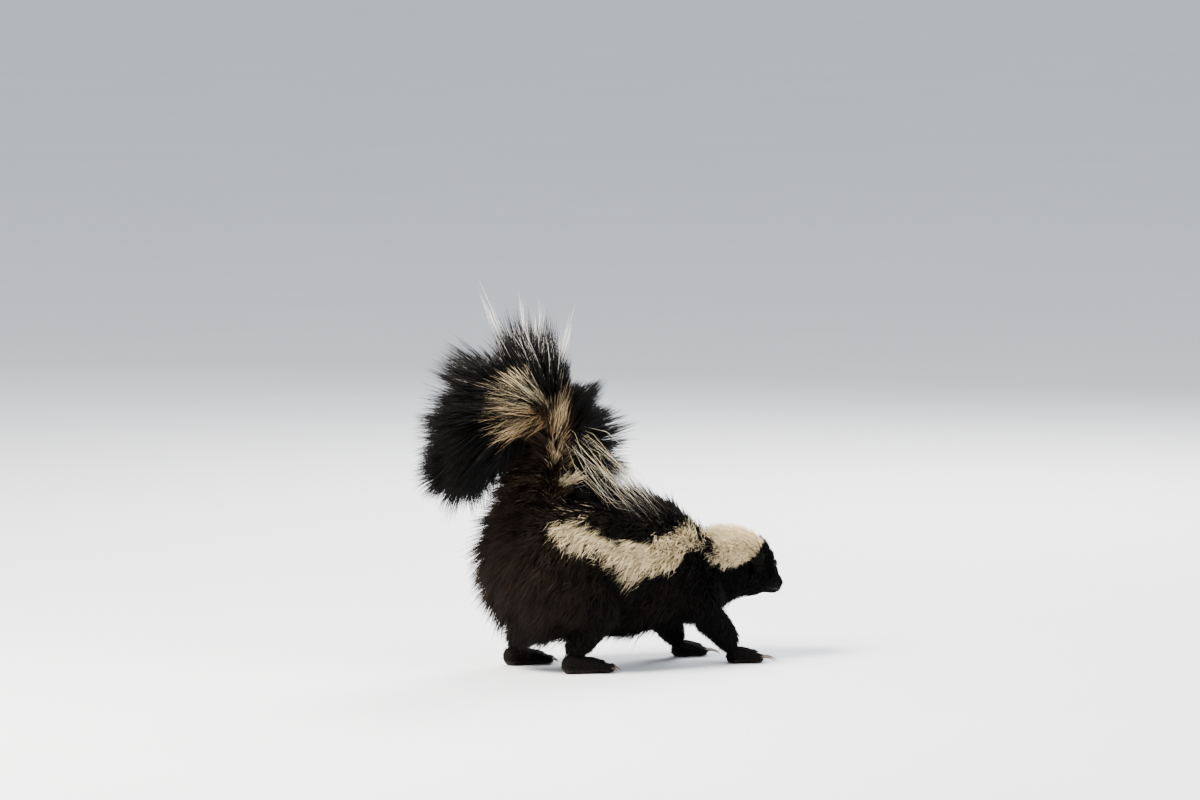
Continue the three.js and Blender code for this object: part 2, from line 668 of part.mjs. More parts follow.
const eyes = ["left", "right"];
const head = join([trunkSolid(["head"]), ...eyes.map(lids)]);
const behindHead = [trunkSolid(["neck"], GAP), ...lockRooms(neckLocks)];
const inHead = [...eyes.map((side) => eyeSolid(side, GAP)), noseSolid(GAP), mouthGroove()];
add("head", fitted(head, [...behindHead, ...inHead]), FUR);
add("nose", noseSolid(), SKIN);
for (const side of eyes) {
  add("eye_" + side, eyeSolid(side), WET);
  add("ear_" + side, fitted(earSolid(side), [trunkSolid(["neck", "head"], GAP)]), FUR);
}

const tailRooms = [...torsoRooms];
for (const [part, rows] of Object.entries(TAIL_ROWS)) {
  const locks = locksOver(tail, rows, tailStyle);
  if (part === "middle") locks.push(...wispLocks());
  add("tail_" + part, fitted(furred(tailSolid([part]), locks), tailRooms), FUR);
  tailRooms.push(tailSolid([part], GAP), ...lockRooms(locks));
}

for (const [name, limb] of Object.entries(LIMBS)) {
  const [set, side] = name.split("_");
  const kind = kindOf(name);
  const names = set === "hind" ? ["thigh", "shank"] : ["upper_arm", "forearm"];
  const upper = upperOf(name, limb);
  const lower = limbSweep(limb.lower, kind.lower, kind.coats[1], limb.side);
  const locks = locksOver(upper, LIMB_ROWS, limbStyle(limb.side));
  const rooms = [...trunkRooms];
  add(names[0] + "_" + side, fitted(furred(limbSolid(upper), locks), rooms), FUR);
  rooms.push(limbSolid(upper, GAP), ...lockRooms(locks));
  add(names[1] + "_" + side, fitted(limbSolid(lower), rooms), FUR);
  rooms.push(limbSolid(lower, GAP));
  const foot = footSolid(kind, limb.heel, limb.side);
  add(set + "foot_" + side, fitted(foot, rooms), SKIN);
}

const skunk = new THREE.Group();
skunk.add(...parts);
const box = new THREE.Box3().setFromObject(skunk);
const middle = box.getCenter(vec(0, 0, 0));
skunk.position.set(-middle.x, -middle.y, -box.min.z);

export default skunk;
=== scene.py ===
"""Dresses the frame of a life-size striped skunk: its skin, its coat, its face and its claws."""

import math

import bmesh
import bpy
import numpy as np
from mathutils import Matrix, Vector, bvhtree, kdtree


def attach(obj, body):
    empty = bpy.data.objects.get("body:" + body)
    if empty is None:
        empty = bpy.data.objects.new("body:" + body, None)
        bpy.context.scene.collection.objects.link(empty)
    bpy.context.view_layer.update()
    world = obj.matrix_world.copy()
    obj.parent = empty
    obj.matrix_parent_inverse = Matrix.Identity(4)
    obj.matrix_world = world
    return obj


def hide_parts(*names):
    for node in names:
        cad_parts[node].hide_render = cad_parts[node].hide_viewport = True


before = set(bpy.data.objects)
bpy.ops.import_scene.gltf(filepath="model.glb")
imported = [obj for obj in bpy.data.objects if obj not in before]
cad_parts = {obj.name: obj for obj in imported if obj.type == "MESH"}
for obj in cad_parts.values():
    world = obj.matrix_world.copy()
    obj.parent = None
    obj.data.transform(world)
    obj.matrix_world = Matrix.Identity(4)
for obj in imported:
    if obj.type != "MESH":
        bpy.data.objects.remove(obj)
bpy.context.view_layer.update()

bl_info = {
    "name": "Striped skunk",
    "version": (1, 0, 0),
    "blender": (4, 5, 0),
    "location": "3D View > Sidebar > Skunk",
    "description": "Grows the skin, coat, face and claws of a striped skunk on its frame",
    "category": "Object",
}

MM = 0.001
UP = np.array([0, 0, 1.0])
SIDES = {"left": 1, "right": -1}
BODY = "root"
# Where the zero of the animal's own millimetres lies in the frame.
ORIGIN = np.array([-6.9905, -2.6822, 0.0])

# The trunk, from the rump to the nose: a point of the spine, how far the skin reaches from it
# to each side, up and down, and the depth of the coat on it.
TRUNK = [
    ((-113, 0, 115), (48, 54, 52), 20),
    ((-85, 0, 117), (56, 58, 60), 20),
    ((-50, 0, 119), (60, 60, 66), 19),
    ((-10, 0, 121), (61, 60, 69), 18),
    ((30, 0, 119), (59, 59, 68), 17),
    ((65, 0, 114), (51, 53, 61), 16),
    ((95, 0, 108), (40, 41, 52), 14),
    ((120, 1, 103), (32, 31, 42), 13),
    ((142, 4, 102), (30, 28, 34), 11),
    ((164, 8, 103), (33, 35, 30), 9),
    ((185, 12, 99), (34, 36, 26), 6),
    ((203, 16, 92), (28, 31, 22), 3.5),
    ((217, 19, 86), (18, 22, 16), 2),
    ((229, 21.5, 80), (12.5, 12.5, 11), 1.2),
    ((238, 23.5, 76), (11, 9.5, 8.5), 0.8),
]
NECK_START = 7.1
HEAD_START = 8.9

# The tail, up from the rump and over a sharp bend. Its coat has a depth to each side, on the
# inside of the bend and on the outside.
TAIL = [
    ((-66, 0, 172), (16, 17, 17), (42, 56, 56)),
    ((-63, 0, 205), (14, 14, 14), (52, 60, 78)),
    ((-61, 0, 235), (12, 12, 12), (58, 46, 84)),
    ((-62, 0, 265), (11, 11, 11), (60, 26, 82)),
    ((-70, 0, 290), (10, 10, 10), (60, 20, 78)),
    ((-92, 0, 300), (9.5, 9.5, 9.5), (60, 20, 78)),
    ((-119, 0, 288), (9, 9, 9), (60, 28, 84)),
    ((-145, 0, 264), (8, 8, 8), (54, 40, 58)),
    ((-169, 0, 232), (6.5, 6.5, 6.5), (48, 42, 50)),
]
# The lengths of the tail's hair to each side and on the inside, and how far it leans to a side.
TAIL_AT = [0, 1, 2, 3, 3.6, 4, 5, 6, 7, 8]
TAIL_SIDE = [42, 40, 38, 36, 44, 78, 84, 80, 72, 62]
TAIL_INSIDE = [64, 66, 54, 36, 38, 66, 60, 50, 50, 55]
TAIL_ASIDE = [44, 44, 42, 38, 34, 32, 26, 17, 20, 24]

# The tail seen from its right and a little from ahead, round the middle of its bend: how far
# its outline and its pale hair reach, and how warm the pale is, by the direction in degrees.
BEND = (-63.0, 290.0)
# What a millimetre to the animal's right adds to where a point is seen along it, and what one
# ahead and one to its left add to how high it is seen.
SEEN_ALONG = 0.531
SEEN_HIGH = (0.0408, 0.0768)
OUTLINE = np.array([
    (-60, 118), (-45, 122), (-31, 134), (-24, 118), (-17, 130), (-9, 124), (-2, 78), (5, 66), (15, 74),
    (23, 80), (32, 56), (42, 42), (55, 50), (70, 66), (80, 82), (87, 91), (94, 113), (100, 92), (106, 121),
    (112, 95), (118, 128), (126, 119), (136, 108), (140, 92), (144, 80), (148, 118), (156, 150), (162, 156),
    (168, 138), (177, 128), (181, 163), (192, 174), (202, 184), (215, 192), (221, 174), (227, 121),
    (232, 100), (240, 85), (270, 85),
]).T  # fmt: skip
PALE = np.array([
    (-60, 20), (0, 18), (40, 20), (60, 24), (90, 36), (115, 48), (126, 58), (150, 80), (165, 92), (178, 100),
    (200, 98), (215, 86), (230, 50), (250, 25), (270, 20),
]).T  # fmt: skip
WARM = np.array([(80, 0.2), (120, 0.1), (150, 0.3), (175, 0.65), (200, 0.95), (225, 1.1)]).T
# The longest hairs stand on top of the bend: where, how far each lock leans forwards, its length.
WISPS = [(4.2, 9, 88), (4.6, 0, 76), (4.9, -11, 89), (5.2, -22, 109)]

# Each limb: its side, the points of its upper and lower part on the left, and its heel.
LIMBS = {
    "hind_right": (
        -1,
        [(-60, 30, 112), (-46, 44, 92), (-22, 51, 68)],
        [(-25, 51, 72), (-42, 53, 48), (-63, 52, 22)],
        (-74, 52),
    ),
    "hind_left": (
        1,
        [(-68, 30, 112), (-58, 44, 92), (-40, 51, 68)],
        [(-43, 51, 72), (-60, 53, 48), (-81, 52, 22)],
        (-92, 52),
    ),
    "fore_right": (
        -1,
        [(94, 22, 94), (103, 33, 78), (104, 41, 60)],
        [(102, 43, 66), (126, 44, 42), (145, 43, 18)],
        (139, 43),
    ),
    "fore_left": (
        1,
        [(92, 22, 94), (97, 33, 78), (90, 41, 60)],
        [(87, 43, 66), (106, 44, 42), (123, 43, 18)],
        (117, 43),
    ),
}
# The sizes of a hind and of a fore limb: how far the skin of the upper and the lower part reaches
# to each side, up and down, the depths of their coats, and the foot as it faces +X.
HIND = {
    "upper": [(24, 36, 42), (22, 32, 34), (16, 20, 20)],
    "lower": [(16, 20, 18), (12, 14, 14), (10, 11, 12)],
    "coats": (16, 5),
    "sole": [
        ((0, 0, 11), (8.5, 9, 11)),
        ((18, 0, 9.5), (9.5, 8.5, 10.5)),
        ((36, 0, 7.5), (12, 7, 8.5)),
        ((49, 0, 6), (12.5, 5, 7)),
    ],
    "toe_root": 43,
    "toes": (13, 17, 18.5, 17.5, 13.5),
    "claw": 8,
}
FORE = {
    "upper": [(13, 24, 26), (13, 20, 20), (12, 15, 16)],
    "lower": [(13, 15, 16), (11, 12, 12), (9, 10, 10)],
    "coats": (13, 4),
    "sole": [
        ((0, 0, 10), (8, 8.5, 10.5)),
        ((12, 0, 8.5), (10, 8, 9.5)),
        ((24, 0, 7), (12.5, 6.5, 8)),
        ((32, 0, 6), (12.5, 5, 7)),
    ],
    "toe_root": 26,
    "toes": (11, 14.5, 15.5, 14.5, 11.5),
    "claw": 17,
}
# How far a foot and each toe beside the middle one are turned outwards, in degrees.
FOOT_TURN = 5
TOE_TURN = 9
TOE_RADIUS = 3.9
FOOT_COAT = 1.8
# How far behind the tip of its toe a claw starts, and how high.
CLAW_ROOT = 3.5
CLAW_RISE = 5.6
# The skin lies inside the outside of the coat by this share of its depth.
SKIN_SHARE = 0.2
# No hair reaches further to a side, on the body and on the tail, or further back.
HALF_WIDTH = 91
TAIL_HALF_WIDTH = 84
REARMOST = -243
# The lowest that skin and hair come to the floor, in metres.
LOWEST = 0.0002
# Where the eyes and the ears are along the trunk and, in degrees, up its sides.
EYE = {"place": 11.25, "rise": 36, "radius": 4.2, "sunk": 0.5}
EAR = {"place": 9.55, "rise": 9, "width": 10, "height": 11.5, "depth": 6}

# What the plain sweep of the head lacks on each side, the cheek, the brow and the lip: where it is
# along the trunk and up its side, how deep its middle lies and its radii.
SWELLINGS = [(10.6, -12, 12, (13, 14, 17)), (11.0, 52, 4.2, (5, 4.5, 7)), (13.1, -20, 5.2, (5, 5.2, 8))]
# The mouth, from its corner to the middle of the chin: places along the trunk and up its side.
MOUTH = [(11.9, -34), (12.6, -30), (13.2, -27), (13.65, -30), (13.86, -50), (13.9, -90)]

# The white stripe on each flank, which runs on into the cap on the nape and crown: its lowest
# and highest edge, on the outside of the coat, at places along the animal.
STRIPE = np.array([
    (-96, 152, 152), (-88, 142, 166), (-79, 136, 172), (-66, 133, 168), (-52, 132, 160), (-30, 118, 150),
    (-16, 106, 145), (-4, 94, 143), (13, 107, 143), (36, 108, 147), (59, 113, 152), (77, 130, 157),
    (90, 134, 159), (102, 126, 163), (113, 112, 400), (122, 111, 400), (137, 105, 400), (149, 106, 400),
    (160, 108, 400), (169, 111, 400), (185, 119, 400), (190, 124, 400), (200, 128, 400), (209, 142, 400),
]).T  # fmt: skip

# The thin white line down the face: how far it reaches to each side, at places along the trunk.
BLAZE = np.array([(11.75, 0.6), (12.1, 2.4), (13.0, 2.0), (13.5, 0.4)]).T
# The skin is the tail's above one height, and has the tail's pale colour above another.
TAIL_SKIN = 186
PALE_SKIN = 220

# The share of a hair that is pale where all of it is, and where none is.
ALL_PALE = 1.3
ALL_DARK = -1.0
# The tail's tan stalk as it is seen: how far ahead its back and front edges are, and its bottom.
STALK = (-64, -42, 226)
# The pale patch at the tail's root as it is seen: its middle and how far it reaches, ahead and up.
PATCH_MIDDLE = (-34, 206)
PATCH_REACH = (19, 8)

# The pieces of the body's coat and the tail's: where each starts and ends, and how many hairs it has.
BODY_COATS = {
    "rump": (0.02, 2.1, 17500),
    "back": (2.1, 4.4, 16000),
    "shoulder": (4.4, 7.1, 15000),
    "neck": (7.1, 9.2, 8500),
}
TAIL_COATS = {"base": (0.35, 2.9, 10000), "bend": (2.9, 5.2, 9400), "end": (5.2, 8.0, 12000)}
# How many hairs the upper part of a limb has, and how long they are at its top and bottom.
UPPER_COATS = {"hind": (5200, (34, 26)), "fore": (3400, (27, 20))}
# Which way the hair of the upper and the lower part of a limb lies.
UPPER_LIE = (-0.7, 0, -1)
LOWER_LIE = (-0.3, 0, -1)


# Sums on rows of points


def unit(rows):
    return rows / np.maximum(np.linalg.norm(rows, axis=-1, keepdims=True), 1e-12)


def dot(a, b):
    return np.sum(a * b, axis=-1, keepdims=True)


def column(numbers):
    return np.asarray(numbers, float)[:, None]


def ease(x, low, high):
    """0 below low, 1 above high and smooth between them."""
    t = np.clip((x - low) / (high - low), 0, 1)
    return t * t * (3 - 2 * t)


def through(rows, s):
    """Points of a smooth line through a row of points, at places counted from its first."""
    rows = np.vstack([2 * rows[0] - rows[1], rows, 2 * rows[-1] - rows[-2]])
    i = np.clip(np.floor(s).astype(int), 0, len(rows) - 4)
    t = column(s - i)
    a, b, c, d = rows[i], rows[i + 1], rows[i + 2], rows[i + 3]
    return 0.5 * (2 * b + (c - a) * t + (2 * a - 5 * b + 4 * c - d) * t**2 + (3 * b - a - 3 * c + d) * t**3)


def turned(rows, axes, angles):
    """Rows turned about axes that stand square to them."""
    return rows * column(np.cos(angles)) + np.cross(axes, rows) * column(np.sin(angles))


def ring_faces(rings, sides, first=0):
    """The faces between rings of points, which are counted from a first one."""
    steps = [(first + ring * sides, i, (i + 1) % sides) for ring in range(rings - 1) for i in range(sides)]
    return [[at + i, at + j, at + sides + j, at + sides + i] for at, i, j in steps]


def closed_tube(rings, sides):
    """The faces of rings of points that close on one point more at each end, listed after them."""
    faces = ring_faces(rings, sides)
    tips, last = rings * sides, (rings - 1) * sides
    for i in range(sides):
        j = (i + 1) % sides
        faces += [[tips, j, i], [tips + 1, last + i, last + j]]
    return faces


class Form:
    """A part of the body swept along stations. An angle of 0 is its left side, 90 degrees its top."""

    def __init__(self, stations, start_round, end_round, squareness=2.2):
        self.points = np.array([at for at, _, _ in stations], float)
        self.reach = np.array([reach for _, reach, _ in stations], float)
        coats = [coat if isinstance(coat, tuple) else (coat,) * 3 for _, _, coat in stations]
        self.coats = np.array(coats, float)
        self.last = len(stations) - 1.0
        self.start_round, self.end_round, self.squareness = start_round, end_round, squareness

    def frame(self, s):
        """The directions along the part, to its left and up."""
        d = 1e-3
        ahead, behind = np.minimum(s + d, self.last), np.maximum(s - d, 0)
        along = unit(through(self.points, ahead) - through(self.points, behind))
        left = unit(np.array([0, 1.0, 0]) - along * along[:, 1:2])
        return along, left, np.cross(along, left)

    def frame_at(self, s):
        """The same at one place."""
        return [rows[0] for rows in self.frame(np.array([s]))]

    def rounding(self, s):
        """How much the ends are drawn in, from 0 at a tip."""

        def near(distance, length):
            return np.sqrt(1 - np.clip(1 - distance / length, 0, 1) ** 2)

        return near(s, self.start_round) * near(self.last - s, self.end_round)

    def bare(self, s, angle):
        """Points of the skin."""
        _, left, up = self.frame(s)
        side, rise, fall = through(self.reach, s).T
        c, h = np.cos(angle), np.sin(angle)
        n = self.squareness
        size = self.rounding(s) / (np.abs(c) ** n + np.abs(h) ** n) ** (1 / n)
        tall = np.where(h > 0, rise, fall)
        return through(self.points, s) + left * column(c * side * size) + up * column(h * tall * size)

    def normal(self, s, angle):
        d = 0.02
        ahead = self.bare(np.minimum(s + d, self.last - 1e-3), angle)
        behind = self.bare(np.maximum(s - d, 1e-3), angle)
        round_it = self.bare(s, angle + d) - self.bare(s, angle - d)
        return unit(np.cross(round_it, ahead - behind))

    def coat(self, s, angle):
        """The depth of the coat."""
        side, over, under = through(self.coats, s).T
        h = np.sin(angle)
        return side + (np.where(h > 0, over, under) - side) * h * h

    def surface(self, s, angle, share=0.0):
        """Points above the skin by a share of the coat's depth."""
        return self.bare(s, angle) + self.normal(s, angle) * column(self.coat(s, angle) * share)

    def hull(self, share, rings, sides):
        """A closed mesh of the part as points and faces, with its rings crowded at the round ends."""
        s, last = np.linspace(0, self.last, rings), self.last
        crowded = np.array([0.01, 0.08, 0.2, 0.4, 0.65])
        s = np.concatenate([self.start_round * crowded, s[s > self.start_round * 0.85]])
        s = np.concatenate([s[s < last - self.end_round * 0.85], last - self.end_round * crowded[::-1]])
        angle = np.arange(sides) * 2 * np.pi / sides
        where, turn = np.repeat(s, sides), np.tile(angle, len(s))
        shell = self.surface(where, turn, share)
        ends = np.array([s[0], s[-1]])
        depth = self.coat(ends, np.zeros(2)) * share
        tips = through(self.points, ends) + self.frame(ends)[0] * column(depth * [-1, 1])
        return np.vstack([shell, tips]), closed_tube(len(s), sides)


trunk = Form(TRUNK, 1.4, 0.55)
tail = Form(TAIL, 0.4, 0.9, 2)


def limb_form(points, reaches, coat, side):
    """The upper or lower part of a limb."""
    stations = [((x, y * side, z), reach, coat) for (x, y, z), reach in zip(points, reaches)]
    return Form(stations, 0.8, 0.7, 2)


def foot_place(points, heel, side):
    """Moves points of a foot that faces +X to its heel, turned a little outwards."""
    turn = math.radians(FOOT_TURN * side)
    x, y, z = np.asarray(points, float).T
    ahead = heel[0] + x * math.cos(turn) - y * math.sin(turn)
    aside = heel[1] * side + x * math.sin(turn) + y * math.cos(turn)
    return np.stack([ahead, aside, z], axis=-1)


def foot_forms(kind, heel, side):
    """The sole and the five toes of a foot."""
    points = foot_place([at for at, _ in kind["sole"]], heel, side)
    stations = [(point, reach, FOOT_COAT) for point, (_, reach) in zip(points, kind["sole"])]
    sole = Form(stations, 0.5, 0.5, 2.4)
    toes = []
    for root, tip, _ in toe_lines(kind):
        middle = [(root[0] + tip[0]) / 2, (root[1] + tip[1]) / 2, 5]
        line = foot_place([root, middle, tip], heel, side)
        toes.append(Form([(point, (TOE_RADIUS,) * 3, FOOT_COAT) for point in line], 0.5, 0.5, 2))
    return sole, toes


def toe_lines(kind):
    """The root, tip and turn of each toe of a foot that faces +X."""
    lines = []
    for i, length in enumerate(kind["toes"]):
        spread = i - 2
        way = math.radians(spread * TOE_TURN)
        root = [kind["toe_root"] - abs(spread) * 1.6, spread * 5.4, 5.2]
        tip = [root[0] + length * math.cos(way), root[1] + length * math.sin(way), 3.6]
        lines.append((root, tip, way))
    return lines


uppers = {}
lowers = {}
feet = {}
for name, (side, upper, lower, heel) in LIMBS.items():
    kind = HIND if name.startswith("hind") else FORE
    uppers[name] = limb_form(upper, kind["upper"], kind["coats"][0], side)
    lowers[name] = limb_form(lower, kind["lower"], kind["coats"][1], side)
    feet[name] = foot_forms(kind, heel, side)


# Places on the head


def head_angle(side, rise):
    """The angle on the trunk of a place that stands so far above the horizontal on one side."""
    return math.radians(rise) if side > 0 else math.pi - math.radians(rise)


def on_head(side, s, rise, share=1.0):
    """A point on the head's coat and the direction out of it."""
    where, angle = np.array([float(s)]), np.array([head_angle(side, rise)])
    return trunk.surface(where, angle, share)[0], trunk.normal(where, angle)[0]


def eye_place(side):
    point, out = on_head(side, EYE["place"], EYE["rise"])
    return point - out * EYE["radius"] * EYE["sunk"], out


def eye_axes(out):
    """An eye's frame, whose Z is out of the head and whose Y is along it."""
    return basis(out, trunk.frame_at(EYE["place"])[0])


def basis(out, towards):
    """A frame whose Z is one direction and whose Y is as near as it can be to another."""
    across = unit(np.cross(towards, out))
    return np.stack([across, np.cross(out, across), out])


def ear_place(side):
    """The middle of an ear's cup and its frame, whose Z is where it opens and whose Y is up."""
    point, out = on_head(side, EAR["place"], EAR["rise"])
    along, left, up = trunk.frame_at(EAR["place"])
    rise = unit(out + up * 0.55 - along * 0.3)
    opening = unit(along + left * side * 0.55)
    return point + rise * 6, basis(opening, rise)


def in_frame(points):
    """Millimetres of the animal as metres of the frame."""
    return (np.asarray(points, float) + ORIGIN) * MM


def in_animal(points):
    return np.asarray(points, float) / MM - ORIGIN


# Meshes and materials


def new_object(name, mesh):
    obj = bpy.data.objects.new(name, mesh)
    bpy.context.scene.collection.objects.link(obj)
    return obj


def mesh_from(name, points, faces, smooth=True):
    mesh = bpy.data.meshes.new(name)
    mesh.from_pydata([tuple(p) for p in points], [], [tuple(f) for f in faces])
    mesh.polygons.foreach_set("use_smooth", [smooth] * len(mesh.polygons))
    mesh.update()
    return mesh


def mark(mesh, name, numbers):
    """Keeps one number for each vertex."""
    kept = mesh.attributes.new(name, "FLOAT", "POINT")
    kept.data.foreach_set("value", np.asarray(numbers, np.float32))


def own(obj, material, slot, *nodes):
    """The piece gets its material, rides on the body and stands for the nodes; its slot is not used."""
    obj.data.materials.clear()
    obj.data.materials.append(material)
    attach(obj, BODY)
    if nodes:
        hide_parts(*nodes)


def flattened(obj):
    """Turns an object with modifiers into its plain result."""
    graph = bpy.context.evaluated_depsgraph_get()
    final = obj.evaluated_get(graph)
    done = bpy.data.meshes.new_from_object(final, preserve_all_data_layers=True, depsgraph=graph)
    obj.modifiers.clear()
    obj.data = done


class Wire:
    """The output of a node, which can be used in sums."""

    def __init__(self, board, socket):
        self.board, self.socket = board, socket

    def maths(self, operation, a, b):
        return self.board.node("Math", {"operation": operation}, {0: a, 1: b})

    def __add__(self, other):
        return self.maths("ADD", self, other)

    def __sub__(self, other):
        return self.maths("SUBTRACT", self, other)

    def __rsub__(self, other):
        return self.maths("SUBTRACT", other, self)

    def __mul__(self, other):
        return self.maths("MULTIPLY", self, other)

    __radd__ = __add__
    __rmul__ = __mul__


class Board:
    """The nodes of one material, with a Principled shader at their end."""

    def __init__(self, name, **fixed):
        self.material = bpy.data.materials.new(name)
        self.material.use_nodes = True
        self.tree = self.material.node_tree
        self.tree.nodes.clear()
        self.shader = self.tree.nodes.new("ShaderNodeBsdfPrincipled")
        output = self.tree.nodes.new("ShaderNodeOutputMaterial")
        self.tree.links.new(self.shader.outputs[0], output.inputs[0])
        for socket, value in fixed.items():
            self.feed(self.shader, socket.replace("_", " "), value)

    def feed(self, node, socket, value):
        if isinstance(value, Wire):
            self.tree.links.new(value.socket, node.inputs[socket])
        else:
            node.inputs[socket].default_value = value

    def node(self, kind, settings=None, sockets=None, out=0):
        """A new node, with its settings made first and its sockets fed after them."""
        made = self.tree.nodes.new("ShaderNode" + kind)
        for key, value in (settings or {}).items():
            setattr(made, key, value)
        for socket, value in (sockets or {}).items():
            self.feed(made, socket, value)
        return Wire(self, made.outputs[out])

    def attribute(self, name):
        return self.node("Attribute", {"attribute_name": name}, out="Fac")

    def place(self):
        return self.node("TexCoord", out="Object")

    def noise(self, scale, detail=2.0, place=None):
        sockets = {"Vector": place or self.place(), "Scale": scale, "Detail": detail}
        return self.node("TexNoise", None, sockets, "Fac")

    def mix(self, share, a, b):
        """One colour turned into another by a share."""
        return self.node("Mix", {"data_type": "RGBA"}, {0: share, 6: a, 7: b}, 2)

    def step(self, value, low, high):
        """0 below low, 1 above high and smooth between them."""
        sockets = {"Value": value, "From Min": low, "From Max": high}
        return self.node("MapRange", {"interpolation_type": "SMOOTHSTEP"}, sockets)

    def bump(self, height, distance, strength):
        sockets = {"Height": height, "Distance": distance, "Strength": strength}
        self.finish(Normal=self.node("Bump", None, sockets))

    def finish(self, **sockets):
        for socket, value in sockets.items():
            self.feed(self.shader, socket.replace("_", " "), value)
        return self.material


def rgba(colour, strength=1.0):
    return (*(c * strength for c in colour), 1.0)


def coat_colour(board, colours):
    """The colour of a hair: pale up to a share of its length and dark beyond it."""
    along, pale = board.attribute("along"), board.attribute("pale")
    brown, chance = board.attribute("brown"), board.attribute("chance")
    is_pale = board.step(pale - along, -0.07, 0.07)
    warm = board.attribute("warm")
    light = board.mix(board.step(warm, -0.9, -0.3), rgba(colours.white), rgba(colours.cream))
    light = board.mix(warm, light, rgba(colours.tan))
    # The brown share carries painted sunlight on the rump and thighs as well as the coat's own tint.
    browned = board.step(brown + chance * 0.4 - along * 0.35, 0.1, 1.0)
    dark = board.mix(browned, rgba(colours.black), rgba(colours.brown))
    return board.mix(is_pale, dark, light)


def hair_material(colours):
    board = Board("hair", Specular_IOR_Level=0.2)
    roughness = board.noise(900.0) * 0.25 + 0.45
    return board.finish(Base_Color=coat_colour(board, colours), Roughness=roughness)


def hide_material(colours):
    """Fur that lies flat on the skin, and bare skin on the soles."""
    board = Board("hide", Specular_IOR_Level=0.1)
    bare = board.attribute("bare")
    fur = coat_colour(board, colours)
    grain = board.node("TexVoronoi", None, {"Vector": board.place(), "Scale": 1400.0})
    strands = board.noise(1100.0, 4.0)
    leather = board.mix(board.noise(300.0), rgba(colours.skin), rgba(colours.skin, 1.7))
    board.bump(strands * (1 - bare) + grain * bare * 0.5, 0.0006, 0.7)
    return board.finish(Base_Color=board.mix(bare, fur, leather), Roughness=0.75 - bare * 0.2)


def nose_material(colours):
    board = Board("nose_leather", Specular_IOR_Level=0.22)
    place = board.place()
    grain = board.node("TexVoronoi", None, {"Vector": place, "Scale": 1300.0})
    colour = board.mix(board.noise(260.0, 3.0, place), rgba(colours.nose), rgba(colours.nose, 1.8))
    board.bump(grain + board.noise(500.0, 2.0, place) * 0.5, 0.0003, 0.6)
    return board.finish(Base_Color=colour, Roughness=board.noise(700.0) * 0.2 + 0.36)


def eye_material(colours):
    board = Board("dark_eye", Specular_IOR_Level=0.18, Coat_Weight=0.12, Coat_Roughness=0.03)
    flecks = board.step(board.noise(420.0), 0.4, 0.7)
    colour = board.mix(flecks, rgba(colours.eye), rgba(colours.eye, 2.5))
    return board.finish(Base_Color=colour, Roughness=board.noise(150.0) * 0.06 + 0.05)


def claw_material(colours):
    board = Board("horn", Specular_IOR_Level=0.5)
    place = board.place()
    long_grain = board.node("Mapping", None, {"Vector": place, "Scale": (120.0, 1500.0, 900.0)})
    streak = board.noise(1.0, 3.0, long_grain)
    colour = board.mix(board.step(streak, 0.3, 0.75), rgba(colours.horn), rgba(colours.horn, 0.35))
    board.bump(streak, 0.0002, 0.5)
    return board.finish(Base_Color=colour, Roughness=streak * 0.2 + 0.25)


def whisker_material(colours):
    board = Board("dark_hair", Specular_IOR_Level=0.4)
    colour = board.mix(board.noise(300.0), rgba(colours.black), rgba(colours.brown))
    return board.finish(Base_Color=colour, Roughness=board.noise(800.0) * 0.2 + 0.35)


def floor_material():
    board = Board("pale_floor", Specular_IOR_Level=0.2)
    place = board.place()
    colour = board.mix(board.noise(3.0, 4.0, place), (0.80, 0.80, 0.81, 1), (0.84, 0.84, 0.85, 1))
    board.bump(board.noise(700.0, 2.0, place), 0.0004, 0.15)
    return board.finish(Base_Color=colour, Roughness=0.85)


# The markings


def along_trunk(points):
    """The places along the trunk that points are at."""
    return np.interp(points[:, 0], trunk.points[:, 0], np.arange(len(TRUNK)))


def flank_white(points):
    """Whether points on the outside of the trunk's coat are in the stripe or the cap."""
    x, z = points[:, 0], points[:, 2]
    at, low, top = STRIPE
    inside = (z > np.interp(x, at, low)) & (z < np.interp(x, at, top)) & (x > at[0]) & (x < at[-1])
    return inside | on_blaze(points)


def nape_grey_and_painted_shade(points):
    """The share of dark locks among the white ones of the nape: partly the nape's own dark hair, partly
    painted shade that the body casts on the white.
    """
    x, z = points[:, 0], points[:, 2]
    return 0.76 * ease(x, 92, 106) * (1 - ease(x, 122, 140)) * ease(z, 112, 128)


def strewn_white(points):
    """The share of single white hairs between the stripe and the root of the tail."""
    x, z = points[:, 0], points[:, 2]
    return 0.09 * ease(x, -92, -76) * (1 - ease(x, -55, -35)) * ease(z, 158, 168)


def on_blaze(points):
    """Whether points are on the thin white line down the middle of the face."""
    s = along_trunk(points)
    _, aside, above = (points - through(trunk.points, s)).T
    start, end = BLAZE[0][[0, -1]]
    return (np.abs(aside) < np.interp(s, *BLAZE)) & (above > 4) & (s > start) & (s < end)


def brown_and_painted_sun(points):
    """How brown the dark coat is: its own brown tint with a random ripple of tone, plus painted sunlight
    that browns the rump and the thighs; less brown towards the front and lower down.
    """
    x, z = points[:, 0], points[:, 2]
    ripple = np.sin(x * 0.11 + z * 0.07) * np.sin(z * 0.13 - points[:, 1] * 0.09)
    brown = 0.3 + 0.35 * (1 - ease(x, -95, -20)) + 0.14 * ripple - 0.15 * ease(x, 60, 120)
    return brown * (0.4 + 0.6 * ease(z, 25, 75))


# Hair


